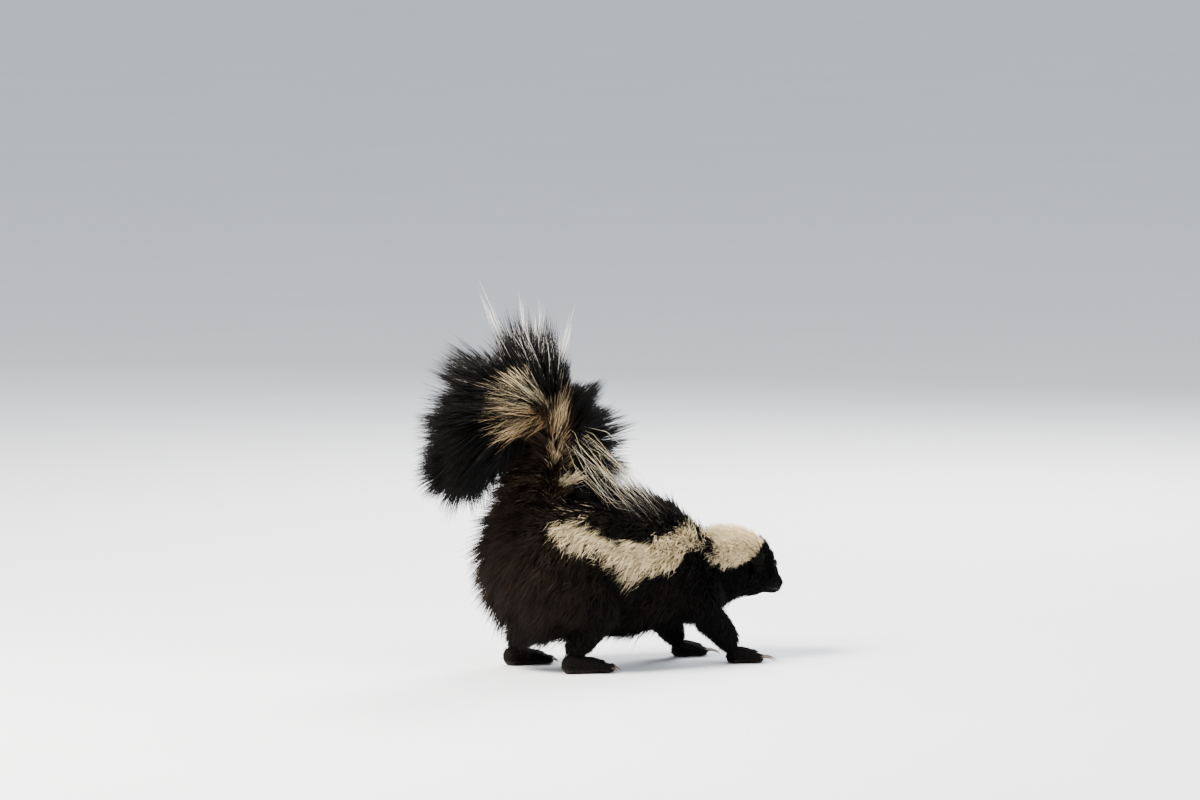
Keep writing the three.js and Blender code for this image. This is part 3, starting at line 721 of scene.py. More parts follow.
def scattered(form, start, end, count, random, weight=None):
    """Random places on a form's skin, even by its area and a weight."""
    rings, sides = 90, 72
    s_edges, a_edges = np.linspace(start, end, rings + 1), np.linspace(0, 2 * np.pi, sides + 1)
    grid = form.surface(np.repeat(s_edges, sides + 1), np.tile(a_edges, rings + 1), 0.5)
    grid = grid.reshape(rings + 1, sides + 1, 3)
    down, over = grid[1:, :-1] - grid[:-1, :-1], grid[:-1, 1:] - grid[:-1, :-1]
    area = np.linalg.norm(np.cross(down, over), axis=-1).ravel()
    s_cell, a_cell = np.repeat(s_edges[:-1], sides), np.tile(a_edges[:-1], rings)
    if weight is not None:
        area = area * weight(s_cell, a_cell)
    chosen = random.choice(len(area), count, p=area / area.sum())
    s = s_cell[chosen] + random.random(count) * (end - start) / rings
    angle = a_cell[chosen] + random.random(count) * 2 * np.pi / sides
    return s, angle


def nearest(skin, points):
    """The skin's points nearest to others, the directions out of it there, and how far they are."""
    found = [skin.find_nearest(Vector(p)) for p in in_frame(points)]
    place, out, _, far = (np.array(rows) for rows in zip(*found))
    return in_animal(place), out, far / MM


def rooted(form, start, end, count, random, skin, reach, weight=None):
    """Hairs scattered between two places of a form, with their roots on the skin."""
    hair = Hair(form, *scattered(form, start, end, count, random, weight), random)
    hair.seat(skin, reach)
    return hair


class Hair:
    """Hairs of one form: where they grow, which way they go and how they are coloured."""

    # The left, right, low and high edge of the form's unwrap in the map.
    unwrap = (0.02, 0.98, 0.02, 0.98)

    def __init__(self, form, s, angle, random):
        self.form, self.s, self.angle, self.random = form, s, angle, random
        self.count = len(s)

    def seat(self, skin, reach):
        """Moves the roots onto the skin and drops those that lie far inside it."""
        self.root, self.out, far = nearest(skin, self.form.bare(self.s, self.angle))
        alike = dot(self.out, self.form.normal(self.s, self.angle))[:, 0]
        self.keep((far < reach) & (alike > 0.2))

    def keep(self, chosen):
        for name in ("s", "angle", "root", "out"):
            setattr(self, name, getattr(self, name)[chosen])
        self.count = len(self.s)

    def about(self, spread):
        return 1 + self.random.uniform(-spread, spread, self.count)

    def lift(self, length, spread, low, high):
        """How steeply hairs of a length stand to end at the outside of the coat."""
        depth = self.form.coat(self.s, self.angle) * (1 - SKIN_SHARE)
        return np.arcsin(np.clip(depth * self.about(spread) / length, low, high))

    def comb(self, lie, lift, bend, length, wander):
        """Lays the hairs along a direction, raised off the skin, and bends them over."""
        flat = unit(lie - self.out * dot(lie, self.out))
        flat = turned(flat, self.out, self.random.normal(0, wander, self.count))
        start = flat * column(np.cos(lift + bend)) + self.out * column(np.sin(lift + bend))
        end = unit(flat * column(np.cos(lift - bend)) + self.out * column(np.sin(lift - bend)))
        self.send(start, end, length)

    def gather(self, per_lock, pull):
        """Draws the tips of neighbours together, so that they end in pointed locks."""
        guides = self.random.choice(self.count, max(1, self.count // per_lock), replace=False)
        finder = kdtree.KDTree(len(guides))
        for i, guide in enumerate(guides):
            finder.insert(self.root[guide], i)
        finder.balance()
        self.guide = guides[[finder.find(p)[1] for p in self.root]]
        step = self.root - self.root[self.guide]
        share = column(pull * self.random.uniform(0.5, 1.3, self.count))
        for name, part in (("knee", 0.35), ("tip", 1.0)):
            mine = getattr(self, name)
            setattr(self, name, mine + (mine[self.guide] + step * 0.2 - mine) * share * part)

    def ruffle(self, share, height):
        """Raises a share of the locks off the coat."""
        raised = (self.random.random(self.count)[self.guide] < share) * self.length * height
        self.knee = self.knee + self.out * column(raised * 0.4)
        self.tip = self.tip + self.out * column(raised)

    def aim(self, way, length, droop):
        """Sends the hairs out and over into one direction."""
        self.send(unit(way + self.out * 0.35), unit(way - self.out * 0.1 - UP * column(droop)), length)

    def send(self, start, end, length):
        """Bends each hair from the direction of its lower part to that of its upper part."""
        self.length = length
        self.knee = self.root + start * column(length * 0.45)
        self.tip = self.knee + end * column(length * 0.55)

    def stretch(self, share):
        for name in ("knee", "tip"):
            setattr(self, name, self.root + (getattr(self, name) - self.root) * column(share))
        self.length = self.length * share

    def shown(self, lock=0.6):
        """Points on the outside of the coat where the hairs, and the locks they are in, show."""
        mine = self.root + (self.tip - self.root) * 0.7
        return mine + (mine[self.guide] - mine) * lock

    def within(self, half_width):
        """Keeps the tips inside the animal's width."""
        self.tip[:, 1] = np.clip(self.tip[:, 1], -half_width, half_width)

    def above_floor(self):
        """Keeps the hairs half a millimetre off the floor."""
        for points in (self.knee, self.tip):
            points[:, 2] = np.maximum(points[:, 2], 0.5)

    def paint(self, pale, brown, warm=0.0):
        """How much of each hair is pale, how brown its dark part is and how warm its pale part."""
        blank = np.zeros(self.count)
        self.pale, self.brown, self.warm = blank + pale, blank + brown, blank + warm

    def on_map(self):
        """Where each root is on the unwrap of the form: its length over and its girth up."""
        left, right, low, high = self.unwrap
        u = left + (right - left) * self.s / self.form.last
        v = low + (high - low) * np.mod(self.angle, 2 * np.pi) / (2 * np.pi)
        return np.stack([u, v], axis=-1)


# How large one hair is on the map, and how far its root goes into the skin.
MAP_SIZE = 0.003
ROOT_DEPTH = 1.5
# The rings of a short and of a long hair: how far along it, and the share of its width.
SHORT = [(0.0, 0.9), (0.5, 0.85)]
LONG = [(0.0, 0.8), (0.36, 1.0), (0.72, 0.62)]


def strands(hair, width, rings, spread=0.3):
    """Hairs as three-sided tapered solids: points, numbers for each point, and faces."""
    n, random = hair.count, hair.random
    half = width * hair.about(spread) * 0.5
    first = hair.root - hair.out * ROOT_DEPTH
    roll = random.uniform(0, 2 * np.pi, n)
    levels = len(rings)
    top, each = (levels - 1) * 3, levels * 3 + 1
    points, along = np.empty((n, each, 3)), np.empty((n, each))
    for level, (t, size) in enumerate(rings):
        middle = first * (1 - t) ** 2 + hair.knee * (2 * t * (1 - t)) + hair.tip * t**2
        ahead = unit((hair.knee - first) * (1 - t) + (hair.tip - hair.knee) * t)
        side = turned(unit(np.cross(ahead, hair.out) + 1e-6), ahead, roll)
        over = np.cross(ahead, side)
        for corner in range(3):
            angle = corner * 2 * np.pi / 3
            step = side * math.cos(angle) + over * math.sin(angle)
            points[:, level * 3 + corner] = middle + step * column(half * size)
            along[:, level * 3 + corner] = t
    points[:, -1] = hair.tip
    along[:, -1] = 1
    triangles = [[top + c, top + (c + 1) % 3, each - 1] for c in range(3)] + [[2, 1, 0]]
    starts = (np.arange(n) * each)[:, None, None]
    corner = np.tile(np.append(np.tile([0.0, 0.5, 1.0], levels), 0.5), (n, 1))
    patch = np.stack([corner - 0.5, along - 0.5], axis=-1) * MAP_SIZE
    numbers = {
        "along": along.ravel(),
        "pale": np.repeat(hair.pale, each),
        "brown": np.repeat(hair.brown, each),
        "warm": np.clip(column(hair.warm) + 0.6 * (0.4 - along), -1, 1).ravel(),
        "chance": np.repeat(random.random(n), each),
    }
    return {
        "points": points.reshape(-1, 3),
        "numbers": numbers,
        "unwrap": (hair.on_map()[:, None] + patch).reshape(-1, 2),
        "quads": (np.array(ring_faces(levels, 3))[None] + starts).reshape(-1, 4),
        "triangles": (np.array(triangles)[None] + starts).reshape(-1, 3),
    }


def coat_object(name, groups):
    """One coat piece from groups of strands, with its unwrap in the OFBake layer."""
    offsets = np.cumsum([0] + [len(group["points"]) for group in groups])
    points = in_frame(np.vstack([group["points"] for group in groups]))
    points[:, 2] = np.maximum(points[:, 2], LOWEST)
    quads = np.vstack([group["quads"] + offset for group, offset in zip(groups, offsets)])
    triangles = np.vstack([group["triangles"] + offset for group, offset in zip(groups, offsets)])
    corners = np.concatenate([quads.ravel(), triangles.ravel()])
    sizes = np.concatenate([np.full(len(quads), 4), np.full(len(triangles), 3)])
    mesh = bpy.data.meshes.new(name)
    mesh.vertices.add(len(points))
    mesh.vertices.foreach_set("co", points.ravel())
    mesh.loops.add(len(corners))
    mesh.loops.foreach_set("vertex_index", corners)
    mesh.polygons.add(len(sizes))
    mesh.polygons.foreach_set("loop_start", np.cumsum(sizes) - sizes)
    mesh.polygons.foreach_set("loop_total", sizes)
    mesh.polygons.foreach_set("use_smooth", np.ones(len(sizes), bool))
    unwrap = np.vstack([group["unwrap"] for group in groups])[corners]
    mesh.uv_layers.new(name="OFBake").data.foreach_set("uv", unwrap.ravel())
    for number in groups[0]["numbers"]:
        mark(mesh, number, np.concatenate([group["numbers"][number] for group in groups]))
    mesh.update()
    own(new_object(name, mesh), shared("hair", hair_material), "black_fur")


# How the coat lies on each part


def trunk_hair(random, start, end, count, skin, sizes):
    """The coat of the back, flanks, belly and neck lies back and down."""
    hair = rooted(trunk, start, end, count, random, skin, 9)
    length = np.interp(hair.s, [0, 3, 6, NECK_START, HEAD_START], [44, 40, 34, 28, 17])
    length = length * hair.about(0.22) * sizes.length
    short = random.random(hair.count) < 0.35
    length = np.where(short, length * 0.68, length)
    lift = hair.lift(length, 0.35, 0.05, 0.9)
    lift = np.where(random.random(hair.count) < 0.07, lift + 0.35, lift)
    hang = 1.6 - 1.1 * ease(hair.s, 0.4, 3)
    lie = -trunk.frame(hair.s)[0] - UP * column(hang)
    hair.comb(lie, lift, 0.2, length, 0.3)
    hair.gather(9, sizes.locks * 0.5)
    raised = np.interp(hair.s, [0, 1.2, 2.2, 3, 6.5, 8.5], [0.36, 0.34, 0.25, 0.27, 0.27, 0])
    hair.ruffle(0.12 + 0.12 * (1 - ease(hair.s, 1.0, 2.5)), raised)
    hair.within(HALF_WIDTH)
    shown = hair.shown()
    lock = random.random(hair.count)
    # Dark locks among the nape's white are partly painted shade.
    white = flank_white(shown) & (lock[hair.guide] * 0.6 + lock * 0.4 > nape_grey_and_painted_shade(shown))
    white |= random.random(hair.count) < strewn_white(shown)
    # The brown carries painted sunlight on the rump and thighs.
    hair.paint(np.where(white, ALL_PALE, ALL_DARK), brown_and_painted_sun(shown), 0.12 * hair.about(0.9))
    return hair


def face_hair(random, start, end, count, skin, sizes):
    """The short coat of the head lies back from the nose, and leaves the eyes, lips and nose bare."""
    hair = rooted(trunk, start, end, count, random, skin, 6, lambda s, a: 1 + 1.2 * ease(s, 10.5, 13))
    clear = np.ones(hair.count, bool)
    for side in SIDES.values():
        eye, _ = eye_place(side)
        clear &= np.linalg.norm(hair.root - eye, axis=1) > EYE["radius"] + 0.6
    nose, _ = nose_place()
    clear &= np.linalg.norm(hair.root - nose, axis=1) > 6.6
    hair.keep(clear)
    length = np.interp(hair.s, [HEAD_START - 0.4, 9.6, 10.6, 12, 14], [19, 16, 11, 5, 2.8])
    length = length * hair.about(0.25) * sizes.length
    lift = hair.lift(length, 0.3, 0.08, 0.8)
    lie = -trunk.frame(hair.s)[0] - UP * 0.25
    for side in SIDES.values():
        eye, out = eye_place(side)
        away = hair.root - eye
        near = 1 - ease(np.linalg.norm(away, axis=1), 4.5, 8)
        lie = lie + unit(away - out * dot(away, out[None])) * column(near * 1.2)
    hair.comb(lie, lift, 0.12, length, 0.22)
    hair.gather(6, sizes.locks * 0.3)
    hair.ruffle(0.4, np.interp(hair.s, [HEAD_START, 9.6, 10.8, 11.8], [0.3, 0.28, 0.22, 0]))
    shown = hair.shown(0.4)
    # Dark hairs among the nape's white are partly painted shade.
    white = flank_white(shown) & (random.random(hair.count) > 0.6 * nape_grey_and_painted_shade(shown))
    # The brown carries painted sunlight, a little less of it on the face.
    hair.paint(np.where(white, ALL_PALE, ALL_DARK), brown_and_painted_sun(shown) - 0.1)
    return hair


def eye_hair(random, side, count, skin):
    """Fine short hair round an eye, as dense as it gets, sweeping back past it."""
    eye, out = eye_place(side)
    axes = eye_axes(out)
    turn = random.uniform(0, 2 * np.pi, count)
    far = EYE["radius"] + random.uniform(0.3, 5.5, count)
    flat = np.stack([np.cos(turn), np.sin(turn), np.zeros(count)], axis=-1) @ axes
    s = EYE["place"] + 0.2 * np.cos(turn)
    hair = Hair(trunk, s, head_angle(side, EYE["rise"]) + 0.2 * np.sin(turn), random)
    hair.root, hair.out, _ = nearest(skin, eye + flat * column(far) + out * 1.5)
    lie = flat * column(1.4 - (far - EYE["radius"]) * 0.15) - trunk.frame(hair.s)[0]
    hair.comb(lie, np.full(count, 0.3), 0.15, 4.2 * hair.about(0.3), 0.25)
    hair.gather(5, 0.25)
    hair.paint(ALL_DARK, 0.1)
    return hair


def limb_hair(random, form, count, skin, sizes, length_range, quarter, lie):
    """The coat of a limb lies back and down."""
    hair = rooted(form, 0.05, form.last - 0.05, count, random, skin, 5)
    length = np.interp(hair.s, [0, form.last], length_range) * hair.about(0.25) * sizes.length
    hair.comb(np.array([lie]), hair.lift(length, 0.35, 0.08, 0.85), 0.18, length, 0.3)
    hair.gather(8, sizes.locks * 0.45)
    hair.within(HALF_WIDTH)
    hair.above_floor()
    # The brown carries painted sunlight on the thighs, less of it lower down.
    hair.paint(ALL_DARK, brown_and_painted_sun(hair.shown()))
    left = 0.02 + 0.25 * quarter
    hair.unwrap = (left, left + 0.22, 0.02, 0.24)
    return hair


def seen(points):
    """How far ahead and how high points are seen by the camera."""
    x, y, z = points.T
    return x - SEEN_ALONG * y, z + SEEN_HIGH[0] * x + SEEN_HIGH[1] * y


def on_right(points):
    """The same points, all on the animal's right."""
    x, y, z = points.T
    return np.stack([x, -np.abs(y), z], axis=-1)


def about_bend(points):
    """How far points of the tail lie from the middle of its bend as they are seen, and which way."""
    ahead, high = seen(points)
    ahead, high = ahead - BEND[0], high - BEND[1]
    way = np.degrees(np.arctan2(high, ahead))
    return np.hypot(ahead, high), np.where(way < -75, way + 360, way)


def tail_hair(random, start, end, count, skin, sizes):
    """The tail's hair fans out from the bone in the plane of its bend, and less to each side."""
    hair = rooted(tail, start, end, count, random, skin, 8, tail_weight)
    along, left, up = tail.frame(hair.s)
    c, h = np.cos(hair.angle), np.sin(hair.angle)
    raised = np.radians(79 - 26 * ease(hair.s, 4.4, 7.2))
    fan = -h * raised + random.normal(0, 0.13, hair.count)
    aside = c * np.radians(np.interp(hair.s, TAIL_AT, TAIL_ASIDE)) * hair.about(0.45)
    aside = aside + random.normal(0, 0.09, hair.count)
    flat = along * column(np.cos(fan)) - up * column(np.sin(fan))
    way = flat * column(np.cos(aside)) + left * column(np.sin(aside))
    outside = through(tail.coats, hair.s)[:, 2] / np.sin(raised)
    beside, inside = np.interp(hair.s, TAIL_AT, TAIL_SIDE), np.interp(hair.s, TAIL_AT, TAIL_INSIDE)
    length = beside + (np.where(h < 0, outside, inside) - beside) * h * h
    short = random.random(hair.count) < 0.3
    length = length * np.where(short, random.uniform(0.45, 0.8, hair.count), hair.about(0.1))
    length = length * sizes.tail_length
    droop = 0.9 * np.abs(hair.out[:, 0]) * (1 - ease(hair.s, 0.8, 2.8))
    hair.aim(way, length, droop)
    hair.gather(34, sizes.locks * 0.6)
    lock = random.uniform(0, 1, hair.count)[hair.guide]
    ragged = np.where(hair.s < 5.1, random.uniform(0.66, 1.06, hair.count), hair.about(0.08))
    reach = np.where(hair.s < 3.9, 0.62 + 0.4 * lock, 0.74 + 0.28 * lock) * ragged
    reach = reach * np.where(short, 0.85, 1.0)
    stray = 12 * (np.mod(lock * 11.3, 1) - 0.5) + random.normal(0, 3, hair.count)
    for _ in range(2):
        distance, direction = about_bend(hair.tip)
        wide = np.where(direction < 80, 0.35, 1.0)
        share = np.interp(direction + stray * wide, *OUTLINE) * reach / distance
        hair.stretch(np.where(hair.s > 2.2, np.clip(share, 0.5, np.where(short, 1.0, 1.3)), 1.0))
    hair.tip[:, 0] = np.maximum(hair.tip[:, 0], REARMOST)
    hair.within(TAIL_HALF_WIDTH)
    tail_colours(hair, random, lock)
    return hair


def tail_weight(s, angle):
    """Little hair grows on the inside of the bend."""
    inside = ease(np.sin(angle), 0.5, 0.9) * ease(s, 2.0, 2.8) * (1 - ease(s, 5.6, 6.4))
    return 1 - 0.75 * inside


def tail_colours(hair, random, lock):
    """A pale star round the bend, black outside it, a tan stalk and a pale patch at its root."""
    s, h = hair.s, np.sin(hair.angle)
    chance = random.random(hair.count)
    middle = on_right(hair.root + (hair.tip - hair.root) * 0.6)
    near, _ = about_bend(on_right(hair.root))
    _, direction = about_bend(middle)
    ray = np.where(np.mod(lock * 7.3, 1) < 0.2, 0.45, 0.78 + 0.36 * np.mod(lock * 5.1, 1))
    pale = (np.interp(direction, *PALE) * ray * 0.75 * hair.about(0.12) - near) / (hair.length * 0.9)
    warm = np.interp(direction, *WARM) + 0.25 * (np.mod(lock * 3.7, 1) - 0.5)
    brown = np.full(hair.count, 0.12)
    stalk = s < 3.6
    foot, head = seen(on_right(hair.root))[0], seen(on_right(hair.tip))[0]
    left = STALK[0] + random.normal(0, 3, hair.count)
    right = STALK[1] + 16 * (lock - 0.5) + random.normal(0, 3, hair.count)
    border, span = np.where(head > foot, right, left), head - foot
    crossing = (border - foot) / np.where(np.abs(span) < 4, 4 * np.sign(span + 1e-6), span)
    tan = (foot > left) & (foot < right) & (middle[:, 2] > STALK[2])
    tan &= 0.5 * np.mod(lock * 9.1, 1) + 0.5 * chance < 0.55
    crossing = np.clip(crossing, 0.05, 1.1) * hair.about(0.3)
    pale = np.where(stalk, np.where(tan, crossing, 0.05), pale)
    warm = np.where(stalk, 0.7 + 0.5 * (np.mod(lock * 3.7, 1) - 0.5), warm)
    brown = np.where(stalk, np.where(head < -30, 1.1, 0.2), brown)
    lighter = stalk & (middle[:, 2] < 222) & (head < -26) & (chance > 0.9)
    pale, warm = np.where(lighter, 0.7, pale), np.where(lighter, 0.45, warm)
    off = (np.stack(seen(middle), axis=-1) - PATCH_MIDDLE) / PATCH_REACH
    patch = (np.sum(off**2, axis=1) < 1) & (chance < 0.8)
    pale, warm = np.where(patch, ALL_PALE, pale), np.where(patch, 0.25, warm)
    single = np.interp(direction, [60, 80, 120, 130], [0.03, 0.13, 0.13, 0.02])
    white = (s > 3.5) & (s < 5.7) & (h < -0.2) & (chance < single)
    pale, warm = np.where(white, ALL_PALE, pale), np.where(white, -0.7, warm)
    hair.paint(pale, brown, warm)
    hair.fine = np.where(white, 0.7, 1.0)


def ray_hair(random, side, count, skin):
    """The outermost hair of the bend's side is pale, and spreads like the rays of a star."""
    s, angle = random.uniform(3.5, 5.0, count), random.uniform(-0.9, 0.6, count)
    hair = Hair(tail, s, np.where(side > 0, angle, np.pi - angle), random)
    hair.seat(skin, 8)
    locks = 52
    middle = random.uniform(122, 230, locks)
    far = random.uniform(0.62, 1.06, locks) * np.interp(middle, *PALE)
    out = random.uniform(52, 76, locks)
    mine = random.integers(0, locks, hair.count)
    way = np.radians(middle[mine] + random.normal(0, 3.6, hair.count))
    distance = far[mine] * random.uniform(0.55, 1.04, hair.count)
    y = side * (out[mine] + random.normal(0, 3, hair.count)) * np.clip(distance / 60, 0.75, 1.08)
    x = BEND[0] + distance * np.cos(way) - SEEN_ALONG * np.abs(y)
    z = BEND[1] + distance * np.sin(way) - SEEN_HIGH[0] * x + SEEN_HIGH[1] * np.abs(y)
    hair.tip = np.stack([x, y, z], axis=-1)
    reached, direction = about_bend(hair.tip)
    allowed = column(np.minimum(1, 0.8 * np.interp(direction, *OUTLINE) / reached))
    hair.tip = hair.root + (hair.tip - hair.root) * allowed
    lean = np.stack([np.cos(way) * 0.2, np.full(hair.count, 1.0 * side), np.sin(way) * 0.2], axis=-1)
    hair.knee = (hair.root + hair.tip) / 2 + lean * column(random.uniform(6, 15, hair.count))
    hair.length = np.linalg.norm(hair.tip - hair.root, axis=1)
    tone = random.uniform(-0.2, 0.2, locks)[mine]
    dark = random.random(hair.count) < np.where(random.random(locks) < 0.25, 0.8, 0.15)[mine]
    hair.paint(np.where(dark, 0.2, ALL_PALE), 0.3, np.interp(np.degrees(way), *WARM) + tone)
    return hair


def wisp_hair(random, skin):
    """Four thin white locks, the longest hairs of all, on top of the bend."""
    each = 10
    s = np.repeat([place for place, _, _ in WISPS], each)
    turn = np.repeat([0.25 * (1 if i % 2 else -1) for i in range(len(WISPS))], each) - np.pi / 2
    lean = np.radians(np.repeat([lean for _, lean, _ in WISPS], each))
    length = np.repeat([length for _, _, length in WISPS], each)
    way = np.stack([np.sin(lean), np.zeros(len(s)), np.cos(lean)], axis=-1)
    end = tail.surface(s, turn, 0.42) + way * column(length)
    s, turn = s + random.uniform(-0.15, 0.15, len(s)), turn + random.uniform(-0.3, 0.3, len(s))
    hair = Hair(tail, s, turn, random)
    hair.seat(skin, 8)
    share = column(random.uniform(0.72, 1.0, hair.count))
    hair.tip = hair.root + (end - hair.root) * share + random.normal(0, 2.8, (hair.count, 3))
    hair.knee = hair.root + (hair.tip - hair.root) * 0.5 + random.normal(0, 4, (hair.count, 3))
    hair.paint(ALL_PALE, 0.2, -0.8)
    return hair


def draped_hair(random, count, skin):
    """Long white hairs that fall from the front of the tail's root over the back."""
    stream = np.arange(count) < count * 0.42
    s = np.where(stream, random.uniform(3.0, 3.8, count), random.uniform(2.0, 3.7, count))
    turn = np.where(stream, random.uniform(0.7, 1.4, count), random.uniform(0, 1.1, count))
    turn = turn * random.choice([-1, 1], count)
    hair = Hair(tail, s, turn - np.pi / 2, random)
    hair.seat(skin, 8)
    side = np.sign(np.cos(hair.angle))
    back = random.triangular(2.5, 4.4, 5.0, hair.count) - 0.25 * (hair.s - 2.0)
    slope = np.pi / 2 - side * random.uniform(0.2, 1.05, hair.count)
    above = trunk.normal(back, slope) * column(random.uniform(0, 7, hair.count))
    hair.tip = trunk.surface(back, slope, 1.0) + above
    span = np.linalg.norm(hair.tip - hair.root, axis=1)
    middle = (hair.root + hair.tip) / 2 + random.normal(0, 5, (hair.count, 3))
    hair.knee = middle + np.array([0.4, 0, 0.9]) * column(span * random.uniform(0.06, 0.2, hair.count))
    flowing = (hair.s > 3.0) & (np.abs(np.cos(hair.angle)) > 0.6)
    past = random.normal((-30, 0, 234), (17, 0, 15), (hair.count, 3))
    past[:, 1] = side * random.uniform(20, 64, hair.count)
    hair.knee = np.where(flowing[:, None], 2 * past - (hair.root + hair.tip) / 2, hair.knee)
    hair.paint(ALL_PALE, 0.2, random.uniform(-0.8, 0.1, hair.count))
    return hair


def foot_weight(s, angle):
    """No hair grows under a foot."""
    return ease(np.sin(angle), -0.9, -0.5)


def foot_hair(random, name, count, skin, sizes, quarter):
    """Short hair lies forwards over the top of a foot and its toes."""
    turn = math.radians(FOOT_TURN * LIMBS[name][0])
    ahead = np.array([[math.cos(turn), math.sin(turn), -0.25]])
    sole, toes = feet[name]
    made = []
    for i, form in enumerate([sole, *toes]):
        share = 0.5 if form is sole else 0.1
        hair = rooted(form, 0.03, form.last - 0.3, int(count * share), random, skin, 3, foot_weight)
        length = np.full(hair.count, 6.5 if form is sole else 4.5) * hair.about(0.25)
        hair.comb(ahead, np.full(hair.count, 0.22) * hair.about(0.5), 0.1, length, 0.25)
        hair.gather(6, sizes.locks * 0.3)
        hair.above_floor()
        hair.paint(ALL_DARK, 0.25)
        left, low = 0.02 + 0.25 * quarter, 0.52 + 0.06 * i
        hair.unwrap = (left, left + 0.22, low, low + 0.05)
        made.append(hair)
    return made


def ear_hair(random, side, count, skin, inner):
    """Short hair over the back and rim of an ear, or finer hair inside it."""
    middle, axes = ear_place(side)
    theta = random.uniform(0, 2 * np.pi, count)
    r = np.sqrt(random.uniform(0, 1, count))
    depth = (3.0 * inner - EAR["depth"]) * np.sqrt(1 - r * r * 0.98) + 1.0 * inner
    local = [EAR["width"] * r * np.cos(theta), EAR["height"] * r * np.sin(theta), depth]
    s = np.full(count, EAR["place"]) + 0.4 * np.cos(theta) * r
    angle = np.full(count, head_angle(side, EAR["rise"])) + 0.3 * np.sin(theta) * r
    hair = Hair(trunk, s, angle, random)
    hair.root, hair.out, _ = nearest(skin, middle + np.stack(local, axis=-1) @ axes)
    length = np.full(count, 4.5 if inner else 6.0) * hair.about(0.3)
    lie = axes[1][None] - axes[2][None] * (0.2 - 0.6 * inner)
    hair.comb(lie, np.full(count, 0.3), 0.1, length, 0.3)
    hair.gather(6, 0.3)
    hair.paint(ALL_DARK, 0.1)
    return hair


# The skin


# The frame's pieces that the skin stands for.
FLESH = [
    "torso", "neck", "head", "ear_left", "ear_right", "tail_base", "tail_middle", "tail_end",
    "thigh_left", "thigh_right", "shank_left", "shank_right", "hindfoot_left", "hindfoot_right",
    "upper_arm_left", "upper_arm_right", "forearm_left", "forearm_right", "forefoot_left", "forefoot_right",
]  # fmt: skip


def nose_place():
    """The middle of the nose pad and its frame: Z ahead, Y up."""
    along, _, up = trunk.frame_at(trunk.last)
    return trunk.points[-1] - along * 1.2 + up * 3.2, basis(along, up)


def bowl(side):
    """An ear's shell: the outside and the inside of a cup, closed round its rim."""
    middle, axes = ear_place(side)
    rings, sides = 8, 28
    r = np.sin(np.linspace(0.08, np.pi / 2, rings))
    theta = np.arange(sides) * 2 * np.pi / sides
    layers = []
    for depth, inset, order in ((EAR["depth"], 0.0, 1), (EAR["depth"] - 3.4, 1.3, -1)):
        for radius in r[::order]:
            width, height = EAR["width"] - inset, EAR["height"] - inset
            shape = np.stack([width * radius * np.cos(theta), height * radius * np.sin(theta)], axis=-1)
            rise = np.full(sides, -depth * math.sqrt(max(0, 1 - radius**2)) + (1.0 if order < 0 else 0.0))
            layers.append(np.column_stack([shape, rise]))
    points = np.vstack([*layers, [[0, 0, -EAR["depth"]]], [[0, 0, -EAR["depth"] + 3.4 + 1.0]]])
    return middle + points @ axes, closed_tube(2 * rings, sides)


def sphere(segments, rings, radius=1):
    """A sphere round zero as points and faces."""
    made = bmesh.new()
    bmesh.ops.create_uvsphere(made, u_segments=segments, v_segments=rings, radius=radius)
    points = np.array([v.co[:] for v in made.verts])
    faces = [[v.index for v in f.verts] for f in made.faces]
    made.free()
    return points, faces


def swellings():
    """The cheeks, brows and lips, which the plain sweep of the head doesn't have."""
    made = []
    along, _, up = trunk.frame_at(12.6)
    for side in SIDES.values():
        for place, rise, deep, radii in SWELLINGS:
            point, out = on_head(side, place, rise, 0.0)
            points, faces = sphere(24, 14)
            made.append((points * radii @ basis(along, up) + (point - out * deep), faces))
    return made


def skin_pieces():
    """Every form of the flesh as closed meshes that overlap."""
    made = [trunk.hull(SKIN_SHARE, 90, 72), tail.hull(0.03, 60, 20)]
    for name in LIMBS:
        made += [form.hull(SKIN_SHARE, 16, 24) for form in (uppers[name], lowers[name])]
        sole, toes = feet[name]
        made.append(sole.hull(0.6, 18, 24))
        made += [toe.hull(0.4, 8, 14) for toe in toes]
    return made + [bowl(side) for side in SIDES.values()] + swellings()


def joined(pieces):
    """Several meshes, each as points and faces, as one in the frame."""
    offset, points, faces = 0, [], []
    for piece_points, piece_faces in pieces:
        points.append(piece_points)
        faces += [[i + offset for i in face] for face in piece_faces]
        offset += len(piece_points)
    return in_frame(np.vstack(points)), faces


def grow_skin(voxel, faces_kept):
    """One closed skin round every form, without a seam."""
    obj = new_object("skin", mesh_from("skin", *joined(skin_pieces())))
    remesh = obj.modifiers.new("one skin", "REMESH")
    remesh.mode, remesh.voxel_size, remesh.use_smooth_shade = "VOXEL", voxel, True
    smooth = obj.modifiers.new("soft", "SMOOTH")
    smooth.factor, smooth.iterations = 0.6, 5
    flattened(obj)
    share = faces_kept / max(1, 2 * len(obj.data.polygons))
    if share < 1:
        thin = obj.modifiers.new("fewer", "DECIMATE")
        thin.ratio = share
        flattened(obj)
    flatten_soles(obj)
    return obj


def flatten_soles(obj):
    """Presses what reaches below the floor up to it."""
    mesh = obj.data
    points = points_of(mesh)
    points[:, 2] = np.maximum(points[:, 2], LOWEST)
    mesh.vertices.foreach_set("co", points.ravel())
    mesh.polygons.foreach_set("use_smooth", np.ones(len(mesh.polygons), bool))
    mesh.update()


def points_of(mesh, what="co"):
    got = np.empty(len(mesh.vertices) * 3)
    if what == "co":
        mesh.vertices.foreach_get("co", got)
    else:
        mesh.vertex_normals.foreach_get("vector", got)
    return got.reshape(-1, 3)


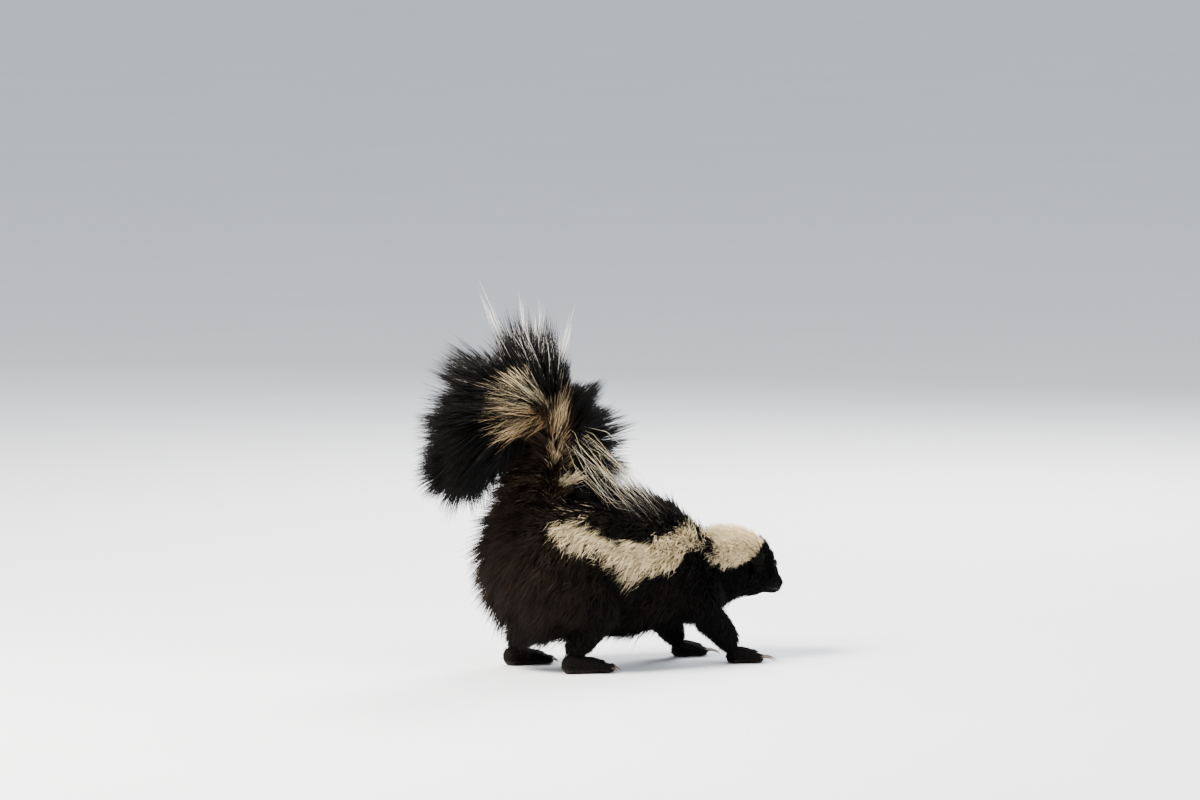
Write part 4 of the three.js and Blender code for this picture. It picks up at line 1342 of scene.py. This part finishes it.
def mark_skin(obj):
    """The same markings on the skin as on the coat over it."""
    mesh = obj.data
    points, out = in_animal(points_of(mesh)), points_of(mesh, "normal")
    s = along_trunk(points)
    lie = -trunk.frame(s)[0] - UP * 0.8
    depth = through(trunk.coats, s)[:, 0]
    shown = points + out * column(depth * 0.5) + unit(lie - out * dot(lie, out)) * column(depth)
    on_tail = points[:, 2] > TAIL_SKIN
    # The nape's skin is darkened by the same partly painted shade.
    pale = np.where(flank_white(shown) & ~on_tail, ALL_PALE - 1.4 * nape_grey_and_painted_shade(shown), ALL_DARK)
    pale = np.where(on_tail & (points[:, 2] > PALE_SKIN), 1.0, pale)
    for side in SIDES.values():
        middle, _ = ear_place(side)
        pale = np.where(np.linalg.norm(points - middle, axis=1) < 14, ALL_DARK, pale)
    mark(mesh, "warm", np.where(on_tail, 0.9, 0.15))
    mark(mesh, "along", np.full(len(points), 0.35))
    mark(mesh, "pale", pale)
    # The brown carries painted sunlight on the rump and thighs, as on the coat.
    mark(mesh, "brown", brown_and_painted_sun(points))
    mark(mesh, "chance", np.full(len(points), 0.4))
    mark(mesh, "bare", ease(-out[:, 2], 0.2, 0.6) * (1 - ease(points[:, 2], 4, 9)))


def skin_finder():
    """Finds the nearest point of the finished skin."""
    obj = bpy.data.objects["skin"]
    points = [Vector(v) for v in points_of(obj.data)]
    return bvhtree.BVHTree.FromPolygons(points, [p.vertices[:] for p in obj.data.polygons])


# What a user can change


def colour(name, value, text):
    return bpy.props.FloatVectorProperty(
        name=name, description=text, default=value, size=3, subtype="COLOR", min=0, max=1
    )


def amount(name, value, text, low, **more):
    return bpy.props.FloatProperty(name=name, description=text, default=value, min=low, **more)


def bearing(name, degrees, text):
    turn = math.radians(degrees)
    return bpy.props.FloatProperty(name=name, description=text, default=turn, subtype="ANGLE")


class SkunkColours(bpy.types.PropertyGroup):
    """The colours of the animal."""

    black: colour("Black", (0.0055, 0.0048, 0.0045), "The dark coat")
    # Brown is the dark coat's own brown tint and also painted sunlight on the rump and thighs.
    brown: colour("Brown", (0.045, 0.028, 0.018), "The sunlit or worn parts of the dark coat")
    cream: colour("Cream", (0.77, 0.65, 0.43), "The stripes and the cap")
    white: colour("White", (0.80, 0.765, 0.70), "The longest hairs of the tail")
    tan: colour("Tan", (0.38, 0.25, 0.12), "The pale hairs near their roots")
    skin: colour("Sole", (0.03, 0.022, 0.02), "The bare skin of the soles")
    nose: colour("Nose", (0.008, 0.006, 0.006), "The nose pad and the lips")
    eye: colour("Eye", (0.004, 0.0025, 0.002), "The eye")
    horn: colour("Claw", (0.16, 0.12, 0.085), "The claws")


class SkunkSizes(bpy.types.PropertyGroup):
    """The sizes of the skin and the coat."""

    voxel: amount(
        "Skin detail", 0.0014, "The size of the smallest fold of the skin", 0.0008, max=0.01, unit="LENGTH"
    )
    skin_faces: bpy.props.IntProperty(
        name="Skin faces", description="The most faces that the skin keeps", default=120000, min=1000
    )
    length: amount("Coat length", 1.0, "Lengthens or shortens the body's hairs", 0.2, max=2)
    tail_length: amount("Tail hair length", 1.0, "Lengthens or shortens the tail's hairs", 0.2, max=2)
    width: amount(
        "Hair width", 0.0011, "The width of one tuft of the body's coat", 0.0002, max=0.01, unit="LENGTH"
    )
    locks: amount("Locks", 1.0, "How far hairs draw together into locks", 0, max=1.5)
    density: amount("Density", 1.0, "The share of the hairs that grow", 0.05, max=1)


class SkunkStage(bpy.types.PropertyGroup):
    """The camera and the lights."""

    azimuth: bearing("Azimuth", -28, "Where the camera stands round the animal")
    elevation: bearing("Elevation", 5, "How far the camera looks down")
    distance: amount("Distance", 12.0, "From the camera to the animal", 1, unit="LENGTH")
    shown_width: amount("Frame width", 1.3333, "The width of the picture at the animal", 0.1, unit="LENGTH")
    key: amount("Key light", 190.0, "The strength of the main light in watts", 0)


def colours():
    return bpy.context.scene.skunk_colours


def sizes():
    return bpy.context.scene.skunk_sizes


def shared(name, make):
    """A material by its name, made where it isn't there yet."""
    return bpy.data.materials.get(name) or make(colours())


def many(count):
    return max(50, int(count * sizes().density))


# The pieces


class SKUNK_OT_skin(bpy.types.Operator):
    """Grows one skin over the frame, with the markings of the coat"""

    bl_idname = "skunk.skin"
    bl_label = "Skin"

    def execute(self, context):
        obj = grow_skin(sizes().voxel, sizes().skin_faces)
        mark_skin(obj)
        own(obj, shared("hide", hide_material), "black_fur", *FLESH)
        return {"FINISHED"}


class SKUNK_OT_body_coat(bpy.types.Operator):
    """Grows the coat of the rump, the back, the flanks and the neck"""

    bl_idname = "skunk.body_coat"
    bl_label = "Body coat"

    def execute(self, context):
        skin = skin_finder()
        for i, (name, (start, end, count)) in enumerate(BODY_COATS.items()):
            random = np.random.default_rng(100 + i)
            grown = trunk_hair(random, start, end, many(count), skin, sizes())
            width = sizes().width / MM * (0.8 if name == "neck" else 1.0)
            coat_object("coat_" + name, [strands(grown, width, SHORT)])
        return {"FINISHED"}


class SKUNK_OT_tail_coat(bpy.types.Operator):
    """Grows the long hair of the tail"""

    bl_idname = "skunk.tail_coat"
    bl_label = "Tail coat"

    def execute(self, context):
        skin = skin_finder()
        for i, (name, (start, end, count)) in enumerate(TAIL_COATS.items()):
            random = np.random.default_rng(200 + i)
            grown = tail_hair(random, start, end, many(count), skin, sizes())
            groups = [strands(grown, 0.95 * grown.fine, LONG, 0.35)]
            if name == "base":
                groups.append(strands(draped_hair(random, many(190), skin), 0.38, LONG))
            if name == "bend":
                groups.append(strands(wisp_hair(random, skin), 0.7, LONG))
                for side in SIDES.values():
                    groups.append(strands(ray_hair(random, side, many(1100), skin), 0.75, LONG))
            coat_object("coat_tail_" + name, groups)
        return {"FINISHED"}


class SKUNK_OT_face_coat(bpy.types.Operator):
    """Grows the short coat of the head and the ears"""

    bl_idname = "skunk.face_coat"
    bl_label = "Face coat"

    def execute(self, context):
        skin = skin_finder()
        random = np.random.default_rng(300)
        grown = face_hair(random, HEAD_START - 0.25, trunk.last - 0.05, many(15500), skin, sizes())
        groups = [strands(grown, np.interp(grown.s, [9, 11, 14], [0.95, 0.75, 0.5]), SHORT)]
        for side in SIDES.values():
            for inner, count in ((0, 700), (1, 350)):
                groups.append(strands(ear_hair(random, side, many(count), skin, inner), 0.65, SHORT))
            groups.append(strands(eye_hair(random, side, many(500), skin), 0.5, SHORT))
        coat_object("coat_face", groups)
        return {"FINISHED"}


class SKUNK_OT_leg_coat(bpy.types.Operator):
    """Grows the coat of the legs and the feet"""

    bl_idname = "skunk.leg_coat"
    bl_label = "Leg coat"

    def execute(self, context):
        skin = skin_finder()
        for i, which in enumerate(SIDES):
            random = np.random.default_rng(400 + i)
            groups = []
            for j, (part, (count, lengths)) in enumerate(UPPER_COATS.items()):
                name = part + "_" + which
                upper = limb_hair(random, uppers[name], many(count), skin, sizes(), lengths, j, UPPER_LIE)
                lower = limb_hair(random, lowers[name], many(2600), skin, sizes(), (17, 9), 2 + j, LOWER_LIE)
                groups += [strands(upper, 1.25, SHORT), strands(lower, 0.85, SHORT)]
                foot = foot_hair(random, name, many(1700), skin, sizes(), j)
                groups += [strands(hair, 0.6, SHORT) for hair in foot]
            coat_object("coat_legs_" + which, groups)
        return {"FINISHED"}


def eyeball(side):
    """A dark eye, a little flattened in front."""
    point, out = eye_place(side)
    points, faces = sphere(40, 24, EYE["radius"])
    return in_frame(point + points * (1, 1, 0.94) @ eye_axes(out)), faces


def lids(side):
    """The rim of the two lids round an eye, thicker above, with its corners drawn out."""
    point, out = eye_place(side)
    turns, sides = 56, 12
    radius = EYE["radius"]
    rows = []
    for i in range(turns):
        turn = 2 * math.pi * i / turns
        c, h = math.cos(turn), math.sin(turn)
        # X is up or down on the face and Y is ahead
        ring = np.array([c * radius * 0.72, h * radius * (0.92 + 0.14 * abs(h) ** 3), radius * 0.62])
        thick = 0.6 + 0.25 * max(0.0, c * side)
        outwards = unit(np.array([c, h, 0.15]))
        for k in range(sides):
            a = 2 * math.pi * k / sides
            rows.append(ring + outwards * math.cos(a) * thick + UP * math.sin(a) * thick * 0.8)
    faces = [[i % len(rows) for i in face] for face in ring_faces(turns + 1, sides)]
    return in_frame(point + np.array(rows) @ eye_axes(out)), faces


def outward(obj):
    """Turns every face outwards."""
    made = bmesh.new()
    made.from_mesh(obj.data)
    bmesh.ops.remove_doubles(made, verts=made.verts, dist=1e-7)
    bmesh.ops.recalc_face_normals(made, faces=made.faces)
    made.to_mesh(obj.data)
    made.free()


class SKUNK_OT_eyes(bpy.types.Operator):
    """Sets the eyes and their lids"""

    bl_idname = "skunk.eyes"
    bl_label = "Eyes"

    def execute(self, context):
        for which, side in SIDES.items():
            ball = new_object("eyeball_" + which, mesh_from("eyeball", *eyeball(side)))
            own(ball, shared("dark_eye", eye_material), "eye", "eye_" + which)
            lid = new_object("lids_" + which, mesh_from("lids", *lids(side)))
            outward(lid)
            own(lid, shared("nose_leather", nose_material), "nose_skin")
        return {"FINISHED"}


def nose_shape():
    """The nose pad: broad, with a groove down its middle and a nostril on each side."""
    points, faces = sphere(72, 48)
    x, y, z = points.T
    size = np.ones(len(points))
    for side in SIDES.values():
        gap = ((x - 0.52 * side) / 0.21) ** 2 + ((y + 0.02) / 0.26) ** 2
        size -= 0.42 * np.exp(-gap) * (z > 0)
        slit = ((x - 0.80 * side) / 0.16) ** 2 + ((y + 0.20) / 0.12) ** 2
        size -= 0.20 * np.exp(-slit) * (z > 0)
    size -= 0.09 * np.exp(-((x / 0.07) ** 2)) * ease(-y, -0.5, 0.3) * (z > 0)
    shape = points * size[:, None] * (7.8, 5.9, 5.4)
    middle, axes = nose_place()
    return in_frame(middle + shape @ axes), faces


def lip(skin, offset):
    """One lip round the mouth from corner to corner, a thin roll that tapers to its ends."""
    rings, sides, radius, tapered = 90, 8, 0.6, 12
    s = np.array([place for place, _ in MOUTH + MOUTH[-2::-1]])
    rise = np.array([rise for _, rise in MOUTH] + [-180 - rise for _, rise in MOUTH[-2::-1]], float)
    s, rise = through(np.column_stack([s, rise]), np.linspace(0, len(s) - 1, rings)).T
    points, out, _ = nearest(skin, trunk.surface(np.clip(s, 0, trunk.last - 0.02), np.radians(rise), 1.0))
    along = unit(np.gradient(points, axis=0))
    over = np.cross(out, along)
    middle = points + out * 0.35 + unit(over) * offset
    to_end = np.minimum(np.arange(rings), np.arange(rings)[::-1])
    size = column(radius * np.sqrt(np.clip(to_end / tapered, 0.02, 1)))
    turns = [2 * math.pi * k / sides for k in range(sides)]
    rows = [middle + (out * math.cos(a) + over * math.sin(a)) * size for a in turns]
    last = (rings - 1) * sides
    caps = [list(range(sides)), [last + k for k in reversed(range(sides))]]
    return np.stack(rows, axis=1).reshape(-1, 3), ring_faces(rings, sides) + caps


class SKUNK_OT_nose(bpy.types.Operator):
    """Sets the nose pad and the lips"""

    bl_idname = "skunk.nose"
    bl_label = "Nose and lips"

    def execute(self, context):
        leather = shared("nose_leather", nose_material)
        pad = new_object("nose_pad", mesh_from("nose_pad", *nose_shape()))
        own(pad, leather, "nose_skin", "nose")
        skin = skin_finder()
        lips = new_object("lips", mesh_from("lips", *joined([lip(skin, 0.6), lip(skin, -0.6)])))
        outward(lips)
        own(lips, leather, "nose_skin")
        return {"FINISHED"}


def spike_tree():
    """Sets one bent, tapered spike on each point of a mesh, turned and sized by the point's numbers."""
    tree = bpy.data.node_groups.new("spikes", "GeometryNodeTree")
    face = tree.interface
    face.new_socket("Seats", in_out="INPUT", socket_type="NodeSocketGeometry")
    for name, kind, value in (
        ("Thickness", "Float", 0.002),
        ("Taper", "Float", 0.1),
        ("Bow", "Float", 0.2),
        ("Sides", "Int", 10),
    ):
        face.new_socket(name, in_out="INPUT", socket_type="NodeSocket" + kind).default_value = value
    face.new_socket("Material", in_out="INPUT", socket_type="NodeSocketMaterial")
    face.new_socket("Spikes", in_out="OUTPUT", socket_type="NodeSocketGeometry")

    def add(kind, **sockets):
        node = tree.nodes.new(kind)
        for socket, value in sockets.items():
            name = socket.replace("_", " ")
            if isinstance(value, bpy.types.NodeSocket):
                tree.links.new(value, node.inputs[name])
            else:
                node.inputs[name].default_value = value
        return node

    given = tree.nodes.new("NodeGroupInput").outputs
    bow = add("ShaderNodeCombineXYZ", X=0.55, Z=given["Bow"])
    line = add("GeometryNodeCurveQuadraticBezier", Resolution=14, Start=(0, 0, 0), Middle=bow.outputs[0])
    line.inputs["End"].default_value = (1, 0, 0)
    how_far = tree.nodes.new("GeometryNodeSplineParameter")
    taper = add("ShaderNodeMapRange", Value=how_far.outputs["Factor"])
    tree.links.new(given["Taper"], taper.inputs["To Max"])
    taper.inputs["To Min"].default_value = 1.0
    ring = add("GeometryNodeCurvePrimitiveCircle", Resolution=given["Sides"], Radius=given["Thickness"])
    length = tree.nodes.new("GeometryNodeInputNamedAttribute")
    length.data_type, length.inputs["Name"].default_value = "FLOAT", "reach"
    heading = tree.nodes.new("GeometryNodeInputNamedAttribute")
    heading.data_type, heading.inputs["Name"].default_value = "FLOAT_VECTOR", "turn"
    solid = add("GeometryNodeCurveToMesh", Curve=line.outputs[0], Scale=taper.outputs[0], Fill_Caps=True)
    tree.links.new(ring.outputs[0], solid.inputs["Profile Curve"])
    shade = add("GeometryNodeSetShadeSmooth", Geometry=solid.outputs[0])
    turn = add("FunctionNodeEulerToRotation", Euler=heading.outputs[0])
    seats = add("GeometryNodeMeshToPoints", Mesh=given["Seats"])
    put = add("GeometryNodeInstanceOnPoints", Points=seats.outputs[0], Instance=shade.outputs[0])
    tree.links.new(turn.outputs[0], put.inputs["Rotation"])
    tree.links.new(length.outputs[0], put.inputs["Scale"])
    real = add("GeometryNodeRealizeInstances", Geometry=put.outputs[0])
    dressed = add("GeometryNodeSetMaterial", Geometry=real.outputs[0], Material=given["Material"])
    out = tree.nodes.new("NodeGroupOutput")
    tree.links.new(dressed.outputs[0], out.inputs[0])
    return tree


def spikes(name, seats, turns, lengths, material, **inputs):
    """A mesh of spikes: where each starts, how it is turned and its length."""
    mesh = mesh_from(name, in_frame(seats), [])
    turn = mesh.attributes.new("turn", "FLOAT_VECTOR", "POINT")
    turn.data.foreach_set("vector", np.asarray(turns, np.float32).ravel())
    mark(mesh, "reach", np.asarray(lengths) * MM)
    obj = new_object(name, mesh)
    grow = obj.modifiers.new("grow", "NODES")
    tree = bpy.data.node_groups.get("spikes") or spike_tree()
    grow.node_group = tree
    known = {item.name: item.identifier for item in tree.interface.items_tree if item.in_out == "INPUT"}
    for key, value in inputs.items():
        grow[known[key]] = value
    grow[known["Material"]] = material
    flattened(obj)
    outward(obj)
    return obj


class SKUNK_OT_claws(bpy.types.Operator):
    """Sets the claws: long ones on the forefeet and short ones on the hind feet"""

    bl_idname = "skunk.claws"
    bl_label = "Claws"

    def execute(self, context):
        horn = shared("horn", claw_material)
        for part, kind in (("fore", FORE), ("hind", HIND)):
            length = kind["claw"] + CLAW_ROOT
            pitch = math.asin(min(0.9, (CLAW_RISE - 1.6) / length))
            seats, turns = [], []
            for which in SIDES:
                side, _, _, heel = LIMBS[part + "_" + which]
                for _, tip, way in toe_lines(kind):
                    back = CLAW_ROOT * math.cos(way), CLAW_ROOT * math.sin(way)
                    start = [tip[0] - back[0], tip[1] - back[1], CLAW_RISE]
                    seats.append(foot_place([start], heel, side)[0])
                    turns.append([0, pitch, way + math.radians(FOOT_TURN * side)])
            shape = {"Thickness": 1.75 / length, "Taper": 0.1, "Bow": 0.26, "Sides": 12}
            obj = spikes("claws_" + part, seats, turns, [length] * len(seats), horn, **shape)
            own(obj, horn, "nose_skin")
        return {"FINISHED"}


class SKUNK_OT_whiskers(bpy.types.Operator):
    """Sets the whiskers on the sides of the muzzle"""

    bl_idname = "skunk.whiskers"
    bl_label = "Whiskers"

    def execute(self, context):
        random = np.random.default_rng(500)
        seats, turns, lengths = [], [], []
        for side in SIDES.values():
            for row in range(3):
                for i in range(4):
                    s, rise = 13.05 - 0.24 * i, -2 - 9 * row + 3 * i
                    point, out = on_head(side, s, rise, 0.3)
                    along = trunk.frame_at(s)[0]
                    way = unit(out * 0.9 - along * (0.35 + 0.2 * i) - UP * 0.15 * row)
                    way = unit(way + random.normal(0, 0.07, 3))
                    seats.append(point)
                    turns.append([0, -math.asin(way[2]), math.atan2(way[1], way[0])])
                    lengths.append(random.uniform(16, 32))
        dark = shared("dark_hair", whisker_material)
        shape = {"Thickness": 0.009, "Taper": 0.1, "Bow": 0.1, "Sides": 5}
        own(spikes("whiskers", seats, turns, lengths, dark, **shape), dark, "black_fur")
        return {"FINISHED"}


def placed(name, data, where, way):
    """A camera or a lamp at a place, facing one way."""
    obj = new_object(name, data)
    obj.location = where
    obj.rotation_mode = "QUATERNION"
    obj.rotation_quaternion = way.to_track_quat("-Z", "Y")
    return obj


class SKUNK_OT_stage(bpy.types.Operator):
    """Sets the floor, the lights and the camera"""

    bl_idname = "skunk.stage"
    bl_label = "Stage"

    def execute(self, context):
        stage = context.scene.skunk_stage
        half, below = 40.0, -0.0004
        corners = [(x * half, y * half, below) for x, y in ((-1, -1), (1, -1), (1, 1), (-1, 1))]
        floor = new_object("floor", mesh_from("floor", corners, [[0, 1, 2, 3]], False))
        floor.data.materials.append(floor_material())
        target = Vector(in_frame([0, 0, 297]))
        a, e = stage.azimuth, stage.elevation
        back = Vector((math.sin(a) * math.cos(e), -math.cos(a) * math.cos(e), math.sin(e)))
        right = Vector((math.cos(a), math.sin(a), 0))
        camera = placed("camera", bpy.data.cameras.new("camera"), target + back * stage.distance, -back)
        camera.data.sensor_width = 36
        camera.data.lens = 36 * stage.distance / stage.shown_width
        camera.data.clip_start, camera.data.clip_end = 0.05, 200
        context.scene.camera = camera
        up = Vector(UP)
        lights = [
            ("key", -right * 1.5 + back * 1.1 + up * 1.9, 1.1, stage.key, (1.0, 0.955, 0.89)),
            ("fill", right * 2.2 + back * 1.6 + up * 1.0, 2.4, stage.key * 0.28, (0.88, 0.93, 1.0)),
            ("rim", -back * 2.2 + right * 0.7 + up * 1.9, 1.6, stage.key * 0.5, (1.0, 1.0, 1.0)),
        ]
        for name, where, size, power, tint in lights:
            light = bpy.data.lights.new(name, "AREA")
            light.shape, light.size, light.energy, light.color = "DISK", size, power, tint
            placed(name, light, Vector(in_frame([0, 0, 180])) + where, -where)
        world = bpy.data.worlds.new("soft_sky")
        world.use_nodes = True
        backdrop = world.node_tree.nodes["Background"]
        backdrop.inputs["Color"].default_value = (0.83, 0.87, 0.93, 1)
        backdrop.inputs["Strength"].default_value = 0.75
        context.scene.world = world
        context.scene.view_settings.look = "AgX - Medium High Contrast"
        return {"FINISHED"}


class SKUNK_PT_panel(bpy.types.Panel):
    """Lists the pieces of the skunk"""

    bl_label = "Striped skunk"
    bl_idname = "SKUNK_PT_panel"
    bl_space_type = "VIEW_3D"
    bl_region_type = "UI"
    bl_category = "Skunk"

    def draw(self, context):
        for group in GROUPS:
            settings = getattr(context.scene, group)
            box = self.layout.box()
            for name in settings.__annotations__:
                box.prop(settings, name)
        for operator in OPERATORS:
            self.layout.operator(operator.bl_idname)


OPERATORS = [
    SKUNK_OT_stage,
    SKUNK_OT_skin,
    SKUNK_OT_eyes,
    SKUNK_OT_nose,
    SKUNK_OT_claws,
    SKUNK_OT_whiskers,
    SKUNK_OT_face_coat,
    SKUNK_OT_body_coat,
    SKUNK_OT_leg_coat,
    SKUNK_OT_tail_coat,
]
GROUPS = {"skunk_colours": SkunkColours, "skunk_sizes": SkunkSizes, "skunk_stage": SkunkStage}


def register():
    for kind in (*GROUPS.values(), *OPERATORS, SKUNK_PT_panel):
        bpy.utils.register_class(kind)
    for name, kind in GROUPS.items():
        setattr(bpy.types.Scene, name, bpy.props.PointerProperty(type=kind))


def unregister():
    for name in GROUPS:
        delattr(bpy.types.Scene, name)
    for kind in (SKUNK_PT_panel, *reversed(OPERATORS), *GROUPS.values()):
        bpy.utils.unregister_class(kind)


def main():
    register()
    for operator in OPERATORS:
        family, name = operator.bl_idname.split(".")
        getattr(getattr(bpy.ops, family), name)()


if __name__ == "__main__":
    main()
